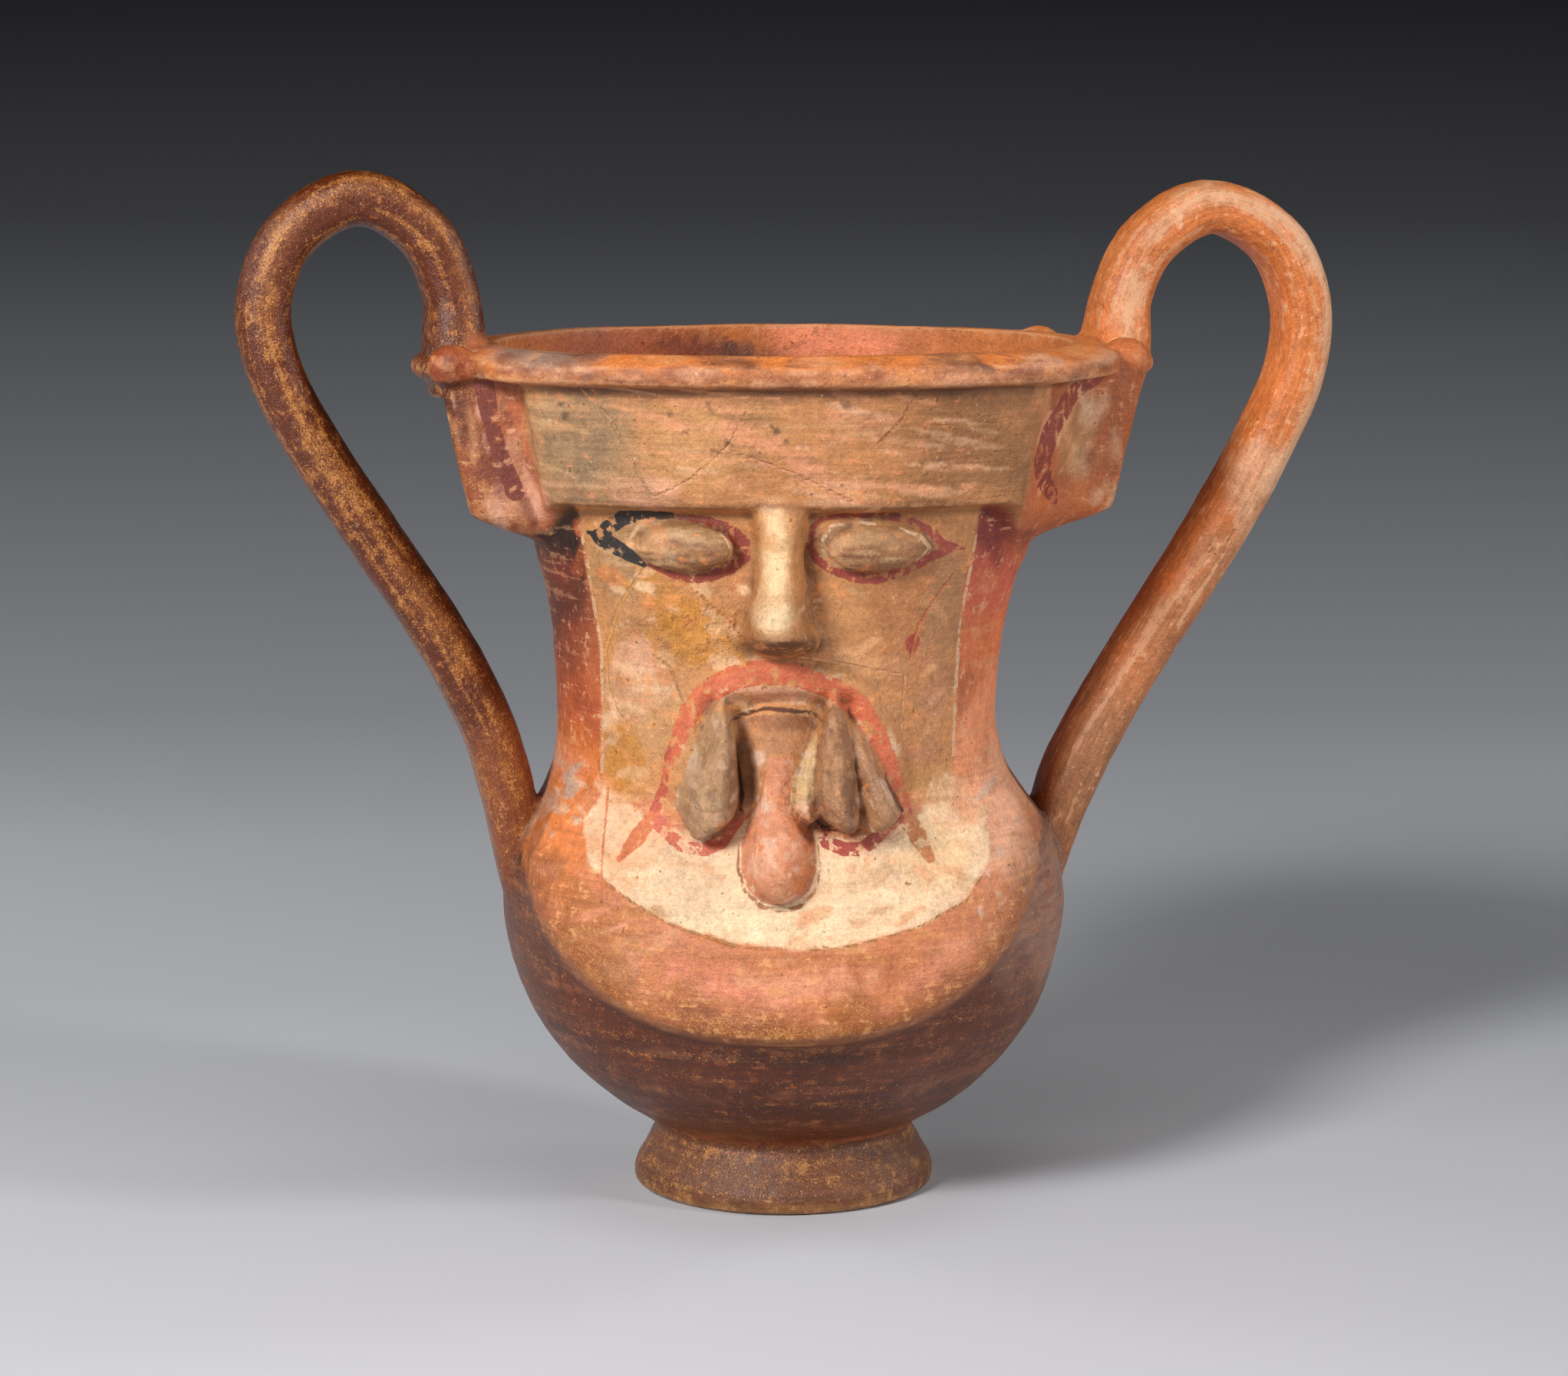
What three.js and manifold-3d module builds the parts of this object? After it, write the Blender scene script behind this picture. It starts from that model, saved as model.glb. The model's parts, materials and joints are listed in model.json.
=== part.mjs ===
// A two-handled drinking cup of fired clay, with a demon's mask modelled on its front.
// Millimetres, +Z up. The mask looks along -Y. The origin is the middle of the underside of the cup's box.

import * as THREE from 'three';
import { mergeVertices } from 'three/addons/utils/BufferGeometryUtils.js';
import { ParametricGeometry } from 'three/addons/geometries/ParametricGeometry.js';
import Module from 'manifold-3d';

const wasm = await Module();
wasm.setup();

// Clay wall and the heights that the outline is built on
const WALL = 5;
const FOOT_TOP = 15.5;
const CUP_FLOOR = 22.5;
const BOWL_WIDEST = 72.5;
const RIM_UNDER = 203.5;
const RIM_TOP = 211;

// Outlines of the turned bowl and neck as [height, radius], at the sides and at the front
const SIDE = [
  [0, 35.6], [1.4, 37.3], [3.5, 37.4], [10.5, 34.2], [FOOT_TOP, 32], [17.7, 34.2], [23.5, 43.2], [29.5, 50.4],
  [35.5, 56], [47.5, 63.7], [60.5, 68.2], [BOWL_WIDEST, 69.9], [82.5, 68.4], [92.5, 64.5], [101.5, 59],
  [108.5, 55.8], [120.5, 54.3], [137.5, 55.2], [152.5, 58], [162.5, 61], [RIM_TOP, 64],
];
const BOWL_TOP = 98;
const FRONT = [
  ...SIDE.filter(([height]) => height < BOWL_TOP),
  [101.5, 60.5], [108.5, 57.8], [120.5, 56.2], [152.5, 55.4], [170.5, 56.2], [RIM_TOP, 58],
];

// Plan of the block above the mask as [degrees from the front, radius]: a flat forehead, then on each side
// a niche, a ridge, the panel under the handle, a second ridge, and the plain round back
const BLOCK = [
  [-180, 75], [-132, 75], [-116, 76], [-104, 83], [-92, 80.5], [-78, 81.5], [-67, 88.5], [-58, 73.5],
  [-51, 77.5], [-42, 74.6], [-25, 69], [0, 65.8], [25, 69], [42, 74.6], [51, 77.5], [60, 74.5], [73, 75],
  [84.5, 88], [96, 82], [112, 78], [123, 82], [136, 76], [150, 75], [180, 75],
];
const BLOCK_LEAN = 0.0026;
const LIP_OVAL = { halfWidth: 81.5, front: 69.5, back: 78.2, power: 2.7, bevel: 5.5, bevelStart: 208.5 };

// Heights between which the block's top steps out to the lip
const LIP_STEP = [RIM_UNDER - 0.4, RIM_UNDER + 1];

// The block grows from the neck over these heights: a sharp ledge in front, a long sweep at the sides
const LEDGE_FRONT = [173.5, 175.9];
const LEDGE_SIDE = [160, 174];
const LEDGE_TURN = [47, 64];

// The mask's relief dies away towards the sides over these cosines of the angle from the front
const RELIEF_TURN = [0, 0.35];

// The neck stands a little left of the axis, as [height, shift]
const SWAY = [[92.5, 0], [122.5, -2], [152.5, -1.2], [174, 0], [RIM_TOP, 0]];

// How square the neck's front is in plan: 2 is round, more is flatter with fuller corners
const SQUARENESS = [[0, 2], [100, 2], [118, 2.3], [RIM_TOP, 2.3]];

// Columns of the wall's mesh, [to this angle, columns], from the left side round by the front
const FIRST_ANGLE = -92;
const COLUMNS = [[-50, 12], [50, 20], [92, 12], [130, 6], [250, 7], [268, 2]];

// Rows of the wall's mesh: [from, to, rows], between them rows that follow the beard's lower edge
const LOW_ROWS = [[0, 3.5, 2], [3.5, 17.7, 3]];
const HIGH_ROWS = [
  [116.5, 156.5, 6], [156.5, 172.5, 5], [172.5, 176.5, 3], [176.5, LIP_STEP[0], 3],
  [LIP_STEP[0], LIP_OVAL.bevelStart, 3], [LIP_OVAL.bevelStart, RIM_TOP, 1],
];
const BOWL_ROWS = 5;
const BEARD_EDGE_ROWS = 3;
const BEARD_ROWS = 9;

// Beard: a thick collar under the chin, seen from the front as a broad U
const BEARD = {
  x: -1, top: 110.5, halfWidth: 64, depth: 61.5, power: 2.6,
  front: 9.5, side: 5, back: 1.5, reach: 28, backHeight: 98.5, edge: 5, lap: 2.5, fade: [100.5, 118.5],
};
const CHIN = { x: 0, top: 112.5, halfWidth: 48, depth: 39, power: 2.2, sink: 1.6, edge: [-1, 1.5] };

// Mouth: a shallow hollow under the arched upper lip
const MOUTH = { x: 0.5, halfWidth: 19, low: [104.5, 110.5], high: [130.5, 134.5], sink: 2.4 };
const LIP = { halfWidth: 24.5, low: 108.5, high: 136.5, thick: 4.4, proud: 2.6, sides: 6, steps: 16 };

// Face: eyes, nose, tusks and tongue, as [height, half width, front depth] rings where they are lofted
const EYES = { z: 166.2, y: -52.4, x: [-22.8, 21.6], radii: [13, 6.4, 6.6], turn: 0.36, segments: [12, 8] };
const NOSE = {
  x: -0.8,
  rings: [
    [181.5, 2, 64], [178.5, 8.2, 68.2], [173.5, 6.8, 68], [165.5, 5.8, 67.4], [157.5, 6.6, 70.6],
    [151, 8.2, 74.6], [147, 9.8, 74.2], [144.7, 9.2, 70], [143.5, 5, 62],
  ],
};
const LEFT_TUSK = {
  x: -16.6,
  rings: [
    [131.5, 1, 58.5], [128, 3.6, 63.5], [120.5, 6, 67], [112.5, 7, 69.5], [105.5, 5.4, 70.5], [100.5, 2, 68],
  ],
};
const RIGHT_TUSK = {
  x: 15.6,
  rings: [
    [132, 1, 58.5], [128.5, 3.8, 64], [120.5, 6.6, 68], [112.5, 8.6, 70.5], [104.5, 9, 72], [100, 6, 72],
    [98, 2, 69],
  ],
};
const TONGUE = {
  x: -0.8,
  rings: [
    [130.5, 6, 54.5], [122.5, 7, 58], [113.5, 7.2, 63], [104.5, 8, 68.5], [96.5, 9.6, 73], [90.5, 9.8, 75],
    [86.5, 8, 74.5], [83.9, 3, 71.5],
  ],
};
const FEATURE_SIDES = 9;
const FEATURE_ROOT = 48;
const FEATURE_FULLNESS = 0.8;

// Handles: each stands in a plane through the axis, turned a little off the cup's width
const HANDLE_TURN = THREE.MathUtils.degToRad(10);
const HANDLE = {
  thick: 13.4, wide: 22, fullness: 0.65, sides: 10, steps: 32, root: [0.02, 0.09],
  rootWide: 31, rootThick: 16, tail: [0.84, 1], tailThick: 0.55, tailWide: 0.65,
};
const LEFT_ROUTE = [
  [79, 199.5], [80.8, 210.5], [81.8, 223.5], [88, 237.5], [103.4, 246], [119.6, 237.5], [126.6, 220.5],
  [124, 204.5], [115, 186.5], [100.3, 163.5], [85.4, 140.5], [73.8, 117.5], [68.6, 98.5], [66.5, 80.5],
  [63, 62.5],
];
const RIGHT_ROUTE = [
  [80, 198.5], [83.4, 209.5], [85, 221.5], [91.6, 234.4], [107, 243], [124, 234.6], [131.2, 218.5],
  [130.2, 203.5], [122.3, 184.5], [110, 162.5], [95.5, 140], [81, 116.5], [71.5, 97.5], [67, 80.5],
  [63.5, 62.5],
];

// Saddles: the rim widens under each handle's root and ends in a knob and a ridge on either side of it
const SADDLE = { reach: 79.5, z: 205.5, radii: [12, 27, 5], segments: [14, 6] };
const KNOB = { radii: [6.2, 6, 5.2], z: 206.9, segments: [8, 6] };
const KNOBS = [[-78.6, -35.4], [-79, 18.5], [82.8, -8], [65, 43]];

// Inside of the cup: a round bowl and neck that open out behind the forehead
const HOLLOW = {
  columns: 28, rows: 13, bottomRows: 3, bottom: 14, neckExtra: 1, grow: [160.5, 188.5], clear: 4,
  block: { halfWidth: 70, front: 60, back: 70, power: 2.2 },
};

// Foot: hollow underneath, so it stands on a ring
const FOOT_HOLLOW = { opening: 29, top: 25, wall: 7, turn: 21, roof: [10, 11], clear: 1, arcs: 4, sides: 20 };

const CLAY = new THREE.MeshStandardMaterial({ color: 0xb4663c, roughness: 0.7, metalness: 0 });

// A smooth curve through [place, value] knots that never swings past them
function curveThrough(knots) {
  const slopes = knots.slice(1).map(([x, y], i) => (y - knots[i][1]) / (x - knots[i][0]));
  const tangents = knots.map((_, i) => {
    const before = slopes[Math.max(i - 1, 0)];
    const after = slopes[Math.min(i, slopes.length - 1)];
    return before * after <= 0 ? 0 : (2 * before * after) / (before + after);
  });
  return (x) => {
    const last = knots.length - 2;
    let i = knots.findIndex(([place], k) => k > 0 && x <= place) - 1;
    if (i < 0) {
      i = x < knots[0][0] ? 0 : last;
    }
    const width = knots[i + 1][0] - knots[i][0];
    const t = THREE.MathUtils.clamp((x - knots[i][0]) / width, 0, 1);
    const rise = knots[i + 1][1] - knots[i][1];
    const bend = t * (1 - t);
    const lift = width * bend * ((1 - t) * tangents[i] - t * tangents[i + 1]);
    return knots[i][1] + rise * t * t * (3 - 2 * t) + lift;
  };
}

const sideRadius = curveThrough(SIDE);
const frontRadius = curveThrough(FRONT);
const blockRadius = curveThrough(BLOCK);
const squareness = curveThrough(SQUARENESS);
const sway = curveThrough(SWAY);

// Radius of a rounded oval in the direction of an angle from the front, -Y
function ovalRadius(angle, halfWidth, frontDepth, backDepth, power) {
  const across = Math.abs(Math.sin(angle)) / halfWidth;
  const along = Math.cos(angle);
  const depth = along > 0 ? frontDepth : backDepth;
  const n = along > 0 ? power : 2;
  return Math.pow(Math.pow(across, n) + Math.pow(Math.abs(along) / depth, n), -1 / n);
}

function smooth(low, high, value) {
  return THREE.MathUtils.smoothstep(value, low, high);
}

function mix(from, to, share) {
  return THREE.MathUtils.lerp(from, to, share);
}

// A sine or cosine raised to a power with its sign kept: below 1 it squares a round section
function fuller(value, power) {
  return Math.sign(value) * Math.pow(Math.abs(value), power);
}

// How far a point in the front view lies inside a broad U, in millimetres
function insideU(shape, x, z) {
  const across = Math.pow(Math.abs(x - shape.x) / shape.halfWidth, shape.power);
  const down = Math.pow(Math.max(shape.top - z, 0) / shape.depth, shape.power);
  return (1 - Math.pow(across + down, 1 / shape.power)) * shape.depth;
}

// Height of the beard's lower edge at an angle from the front
function beardEdge(angle) {
  const across = sideRadius(BOWL_WIDEST) * Math.sin(angle) - BEARD.x;
  const reach = Math.min(Math.abs(across) / BEARD.halfWidth, 1);
  const drop = Math.pow(1 - Math.pow(reach, BEARD.power), 1 / BEARD.power);
  const edge = Math.cos(angle) > 0 ? BEARD.top - BEARD.depth * drop : BEARD.backHeight;
  return Math.min(edge, BEARD.backHeight);
}

// Relief that stands forward of the turned wall, or sinks into it, in the front view
function relief(x, z, facing) {
  const inBeard = insideU(BEARD, x, z);
  const fade = 1 - smooth(...BEARD.fade, z);
  const swell = BEARD.side + (BEARD.front - BEARD.side) * facing * facing;
  const slope = Math.pow(1 - THREE.MathUtils.clamp(inBeard / BEARD.reach, 0, 1), 2);
  const beard = smooth(-BEARD.edge, BEARD.lap, inBeard) * fade * (BEARD.back + (swell - BEARD.back) * slope);
  const chin = CHIN.sink * smooth(...CHIN.edge, insideU(CHIN, x, z)) * fade;
  const inMouth = Math.abs(x - MOUTH.x) <= MOUTH.halfWidth ? 1 : 0;
  const mouth = MOUTH.sink * inMouth * smooth(...MOUTH.low, z) * (1 - smooth(...MOUTH.high, z));
  return beard - chin - mouth;
}

// The angle from the front in degrees, between -180 and 180
function degreesFromFront(angle) {
  return THREE.MathUtils.euclideanModulo(THREE.MathUtils.radToDeg(angle) + 180, 360) - 180;
}

// Radius of the rim's lip, whose top slopes down outwards
function lipRadius(angle, z) {
  const inset = LIP_OVAL.bevel * smooth(LIP_OVAL.bevelStart, RIM_TOP, z);
  const { halfWidth, front, back, power } = LIP_OVAL;
  return ovalRadius(angle, halfWidth, front, back, power) - inset;
}

function wallRadius(angle, z) {
  const degrees = degreesFromFront(angle);
  const neck = ovalRadius(angle, sideRadius(z), frontRadius(z), sideRadius(z), squareness(z));
  const block = blockRadius(degrees) * (1 - BLOCK_LEAN * Math.max(RIM_UNDER - z, 0));
  const round = smooth(...LEDGE_TURN, Math.abs(degrees));
  const from = mix(LEDGE_FRONT[0], LEDGE_SIDE[0], round);
  const to = mix(LEDGE_FRONT[1], LEDGE_SIDE[1], round);
  const body = mix(neck, block, smooth(from, to, z));
  return mix(body, lipRadius(angle, z), smooth(...LIP_STEP, z));
}

function wallPoint(angle, z, target) {
  const radius = wallRadius(angle, z);
  const facing = Math.max(Math.cos(angle), 0);
  const x = radius * Math.sin(angle);
  const forward = facing > 0 ? relief(x, z, facing) * smooth(...RELIEF_TURN, facing) : 0;
  target.set(x + sway(z), -radius * Math.cos(angle) - forward, z);
}

// Angles of the columns: close together over the mask and the ridges, wider apart round the back
function columnAngles() {
  const angles = [];
  let from = FIRST_ANGLE;
  for (const [to, columns] of COLUMNS) {
    for (let column = 0; column < columns; column += 1) {
      angles.push(THREE.MathUtils.degToRad(from + ((to - from) * column) / columns));
    }
    from = to;
  }
  return angles;
}

// Heights of the mesh's rows at one angle
function rowHeights(angle) {
  const edge = beardEdge(angle);
  const lowEnd = LOW_ROWS[LOW_ROWS.length - 1][1];
  const highStart = HIGH_ROWS[0][0];
  const bands = [
    ...LOW_ROWS,
    [lowEnd, edge - BEARD.edge, BOWL_ROWS],
    [edge - BEARD.edge, edge + BEARD.lap, BEARD_EDGE_ROWS],
    [edge + BEARD.lap, highStart, BEARD_ROWS],
    ...HIGH_ROWS,
  ];
  const heights = [0];
  for (const [from, to, rows] of bands) {
    for (let row = 1; row <= rows; row += 1) {
      heights.push(from + ((to - from) * row) / rows);
    }
  }
  return heights;
}

// A manifold solid from a closed three.js geometry
function solid(geometry) {
  const bare = geometry.clone();
  bare.deleteAttribute('normal');
  bare.deleteAttribute('uv');
  const merged = mergeVertices(bare, 1e-3);
  const triangles = [];
  for (let i = 0; i < merged.index.count; i += 3) {
    const corners = [0, 1, 2].map((k) => merged.index.getX(i + k));
    if (new Set(corners).size === 3) {
      triangles.push(...corners);
    }
  }
  const mesh = new wasm.Mesh({
    numProp: 3,
    vertProperties: new Float32Array(merged.attributes.position.array),
    triVerts: new Uint32Array(triangles),
  });
  const body = new wasm.Manifold(mesh);
  return body.volume() > 0 ? body : insideOut(merged, triangles);
}

// The same solid with every triangle turned round
function insideOut(merged, triangles) {
  const turned = [];
  for (let i = 0; i < triangles.length; i += 3) {
    turned.push(triangles[i], triangles[i + 2], triangles[i + 1]);
  }
  const mesh = new wasm.Mesh({
    numProp: 3,
    vertProperties: new Float32Array(merged.attributes.position.array),
    triVerts: new Uint32Array(turned),
  });
  return new wasm.Manifold(mesh);
}

// A closed stack of rings: ring(step, turn, target) gives each point, and the ends close on end(step, target)
function ringSolid(ring, end, sides, steps) {
  const geometry = new ParametricGeometry(
    (u, v, target) => {
      const step = Math.round(v * (steps + 2)) - 1;
      if (step < 0 || step > steps) {
        end(Math.min(Math.max(step, 0), steps), target);
      } else {
        ring(step, Math.round(u * sides) % sides, target);
      }
    },
    sides,
    steps + 2,
  );
  return solid(geometry);
}

function outerWall() {
  const angles = columnAngles();
  const heights = angles.map(rowHeights);
  const rows = heights[0].length - 1;
  return ringSolid(
    (row, column, target) => wallPoint(angles[column], heights[column][row], target),
    (row, target) => target.set(0, 0, row === 0 ? 0 : RIM_TOP),
    angles.length,
    rows,
  );
}

// Height of one row of the cup's hollow: close together on the curved floor, even above it
function hollowHeight(row) {
  const shoulder = CUP_FLOOR + HOLLOW.bottom;
  const low = row / HOLLOW.bottomRows;
  if (low < 1) {
    return CUP_FLOOR + HOLLOW.bottom * low * low;
  }
  const above = (row - HOLLOW.bottomRows) / (HOLLOW.rows - HOLLOW.bottomRows);
  return mix(shoulder, RIM_TOP + HOLLOW.clear, above);
}

// Radius of the cup's hollow: a wall's thickness inside the turned outline, wider behind the forehead
function hollowRadius(angle, z) {
  const { halfWidth, front, back, power } = HOLLOW.block;
  const grow = smooth(...HOLLOW.grow, z);
  const under = z - WALL * (1 - smooth(CUP_FLOOR, BOWL_WIDEST, z));
  const inset = WALL + HOLLOW.neckExtra * smooth(...BEARD.fade, z);
  return ovalRadius(
    angle,
    mix(sideRadius(under) - inset, halfWidth, grow),
    mix(frontRadius(under) - inset, front, grow),
    mix(sideRadius(under) - inset, back, grow),
    mix(2, power, grow),
  );
}

// The empty inside of the cup, smooth all round, open above the rim
function cupHollow() {
  return ringSolid(
    (row, column, target) => {
      const angle = (2 * Math.PI * column) / HOLLOW.columns;
      const z = hollowHeight(row);
      const radius = hollowRadius(angle, z);
      target.set(radius * Math.sin(angle), -radius * Math.cos(angle), z);
    },
    (row, target) => target.set(0, 0, hollowHeight(row)),
    HOLLOW.columns,
    HOLLOW.rows,
  );
}

function footHollow() {
  const { opening, top, wall, turn, roof, clear, arcs, sides } = FOOT_HOLLOW;
  const outline = new THREE.Path();
  outline.moveTo(0, -clear);
  outline.lineTo(opening, -clear);
  outline.lineTo(opening, 0);
  outline.lineTo(top, wall);
  outline.quadraticCurveTo(turn, roof[0], 0, roof[1]);
  const lathe = new THREE.LatheGeometry(outline.getPoints(arcs), sides);
  lathe.rotateX(Math.PI / 2);
  return solid(lathe);
}

// A handle: a flattened bar that grows out of the saddle and thins to a tail on the bowl's side
function handle(sign, route) {
  const stations = route.map(([r, z]) => new THREE.Vector3(r, 0, z));
  const path = new THREE.CatmullRomCurve3(stations, false, 'centripetal');
  const points = path.getSpacedPoints(HANDLE.steps);
  const outward = new THREE.Vector3(sign * Math.cos(HANDLE_TURN), sign * Math.sin(HANDLE_TURN), 0);
  const across = new THREE.Vector3(-outward.y, outward.x, 0);
  return ringSolid(
    (step, side, target) => {
      const along = step / HANDLE.steps;
      const root = 1 - smooth(...HANDLE.root, along);
      const tail = smooth(...HANDLE.tail, along);
      const thick = mix(HANDLE.thick, HANDLE.rootThick, root) * mix(1, HANDLE.tailThick, tail);
      const wide = mix(HANDLE.wide, HANDLE.rootWide, root) * mix(1, HANDLE.tailWide, tail);
      const tangent = path.getTangentAt(along);
      const turn = (2 * Math.PI * (side + 0.5)) / HANDLE.sides;
      const out = (thick / 2) * fuller(Math.cos(turn), HANDLE.fullness);
      const over = (wide / 2) * fuller(Math.sin(turn), HANDLE.fullness);
      const r = points[step].x + tangent.z * out;
      const z = points[step].z - tangent.x * out;
      target.copy(outward).multiplyScalar(r).addScaledVector(across, over).setZ(z);
    },
    (step, target) => target.copy(outward).multiplyScalar(points[step].x).setZ(points[step].z),
    HANDLE.sides,
    HANDLE.steps,
  );
}

function ellipsoid(radii, place, turn, segments) {
  const geometry = new THREE.SphereGeometry(1, ...segments);
  geometry.rotateX(Math.PI / 2);
  geometry.scale(...radii);
  geometry.rotateZ(turn);
  geometry.translate(...place);
  return solid(geometry);
}

function saddle(sign) {
  const turn = HANDLE_TURN + (sign < 0 ? Math.PI : 0);
  const place = [SADDLE.reach * Math.cos(turn), SADDLE.reach * Math.sin(turn), SADDLE.z];
  return ellipsoid(SADDLE.radii, place, turn, SADDLE.segments);
}

function knob([x, y]) {
  return ellipsoid(KNOB.radii, [x, y, KNOB.z], Math.atan2(y, x), KNOB.segments);
}

// A raised feature of the face, made of half-round rings stacked by height
function feature({ x, rings }) {
  return ringSolid(
    (step, side, target) => {
      const [z, halfWidth, depth] = rings[step];
      const turn = Math.PI * (side / (FEATURE_SIDES - 1) - 0.5);
      const forward = fuller(Math.max(Math.cos(turn), 0), FEATURE_FULLNESS) * (depth - FEATURE_ROOT);
      target.set(x + halfWidth * Math.sin(turn), -FEATURE_ROOT - forward, z);
    },
    (step, target) => target.set(x, -FEATURE_ROOT, rings[step][0]),
    FEATURE_SIDES,
    rings.length - 1,
  );
}

function eye(index) {
  const x = EYES.x[index];
  return ellipsoid(EYES.radii, [x, EYES.y, EYES.z], EYES.turn * Math.sign(x), EYES.segments);
}

// The arched upper lip, a flattened roll laid on the wall
function upperLip() {
  const middle = new THREE.Vector3();
  const arch = (t) => {
    const angle = Math.PI * t;
    const x = MOUTH.x - LIP.halfWidth * Math.cos(angle);
    const z = LIP.low + (LIP.high - LIP.low) * Math.sin(angle);
    return [x, z, Math.cos(angle), Math.sin(angle)];
  };
  const place = (t, target) => {
    const [x, z] = arch(t);
    const radius = frontRadius(z);
    const y = -Math.sqrt(Math.max(radius * radius - x * x, 0)) - relief(x, z, 1);
    target.set(x, y, z);
  };
  return ringSolid(
    (step, side, target) => {
      const t = step / LIP.steps;
      const [, , cosine, sine] = arch(t);
      place(t, middle);
      const turn = (2 * Math.PI * side) / LIP.sides;
      const over = LIP.thick * Math.cos(turn);
      target.set(middle.x - cosine * over, middle.y - LIP.proud * Math.sin(turn), middle.z + sine * over);
    },
    (step, target) => place(step / LIP.steps, target),
    LIP.sides,
    LIP.steps,
  );
}

function kantharosSolid() {
  const pieces = [
    outerWall(),
    handle(-1, LEFT_ROUTE),
    handle(1, RIGHT_ROUTE),
    saddle(-1),
    saddle(1),
    ...KNOBS.map(knob),
    eye(0),
    eye(1),
    upperLip(),
    feature(NOSE),
    feature(LEFT_TUSK),
    feature(RIGHT_TUSK),
    feature(TONGUE),
  ];
  const whole = pieces.reduce((body, piece) => body.add(piece));
  return whole.subtract(cupHollow()).subtract(footHollow());
}

function kantharos() {
  const { vertProperties, triVerts } = kantharosSolid().getMesh();
  const geometry = new THREE.BufferGeometry();
  geometry.setAttribute('position', new THREE.BufferAttribute(vertProperties, 3));
  geometry.setIndex(new THREE.BufferAttribute(triVerts, 1));
  geometry.computeVertexNormals();
  geometry.computeBoundingBox();
  const { min, max } = geometry.boundingBox;
  geometry.translate(-(min.x + max.x) / 2, -(min.y + max.y) / 2, -min.z);
  const mesh = new THREE.Mesh(geometry, CLAY);
  mesh.name = 'kantharos';
  return mesh;
}

const cup = new THREE.Group();
cup.add(kantharos());

export default cup;
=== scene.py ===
"""A fired clay drinking cup: a demon's mask on its front, two tall looped handles and a low hollow foot.

Every size of the clay is in millimetres, counted from the cup's turned axis and from the surface it stands
on. The mask looks along -Y. The clay is built in those sizes and set into the row's frame, in metres, at the
end. The studio's sizes are in metres.
"""

import json
import logging
import math
from dataclasses import dataclass
from enum import Enum
from typing import Sequence

import bpy
import numpy as np
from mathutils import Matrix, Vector

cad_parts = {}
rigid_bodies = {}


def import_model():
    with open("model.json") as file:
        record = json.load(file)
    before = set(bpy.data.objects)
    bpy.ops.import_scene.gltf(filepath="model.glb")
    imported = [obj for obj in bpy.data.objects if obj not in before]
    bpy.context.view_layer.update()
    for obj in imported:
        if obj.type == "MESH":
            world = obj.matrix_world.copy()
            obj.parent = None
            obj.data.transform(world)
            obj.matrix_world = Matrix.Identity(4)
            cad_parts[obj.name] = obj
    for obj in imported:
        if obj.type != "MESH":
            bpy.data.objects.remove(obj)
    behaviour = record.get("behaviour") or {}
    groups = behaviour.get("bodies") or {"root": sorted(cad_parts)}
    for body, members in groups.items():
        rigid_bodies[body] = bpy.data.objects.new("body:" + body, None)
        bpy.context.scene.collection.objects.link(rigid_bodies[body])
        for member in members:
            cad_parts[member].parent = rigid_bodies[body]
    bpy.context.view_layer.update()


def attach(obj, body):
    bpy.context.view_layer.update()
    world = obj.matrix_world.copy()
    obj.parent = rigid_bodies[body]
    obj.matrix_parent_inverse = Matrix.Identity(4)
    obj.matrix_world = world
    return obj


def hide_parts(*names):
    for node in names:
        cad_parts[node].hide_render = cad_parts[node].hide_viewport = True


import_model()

LOG = logging.getLogger("cup")
MM = 0.001
AXIS = (-2.4843, -1.5946)
FAR = 50.0
NEVER = 1e9

Array = np.ndarray
Piece = bpy.types.Object
Socket = bpy.types.NodeSocket
Pair = tuple[float, float]
Knots = Sequence[Pair]


def round_points(angle: Array, radius: Array, z: Array) -> Array:
    """Points at the angles from the front, radii and heights given, one a row."""
    return np.stack([radius * np.sin(angle), -radius * np.cos(angle), z * np.ones_like(radius)], axis=1)


def around(points: Array) -> tuple[Array, Array]:
    """Angle from the front and distance from the cup's axis of each point."""
    return np.arctan2(points[:, 0], -points[:, 1]), np.hypot(points[:, 0], points[:, 1])


def smooth(low: float | Array, high: float | Array, value: Array) -> Array:
    """Rises softly from 0 at low to 1 at high.

    Args:
        low: Value where the rise starts.
        high: Value where it ends. It may be the smaller of the two.
        value: Where to read it.

    Returns:
        Shares from 0 to 1.
    """
    t = np.clip((value - low) / (high - low), 0.0, 1.0)
    return t * t * (3.0 - 2.0 * t)


def lerp(low: float | Array, high: float | Array, share: float | Array) -> Array:
    """Goes in a straight line from low, at share 0, to high, at share 1."""
    return low + (high - low) * share


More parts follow.
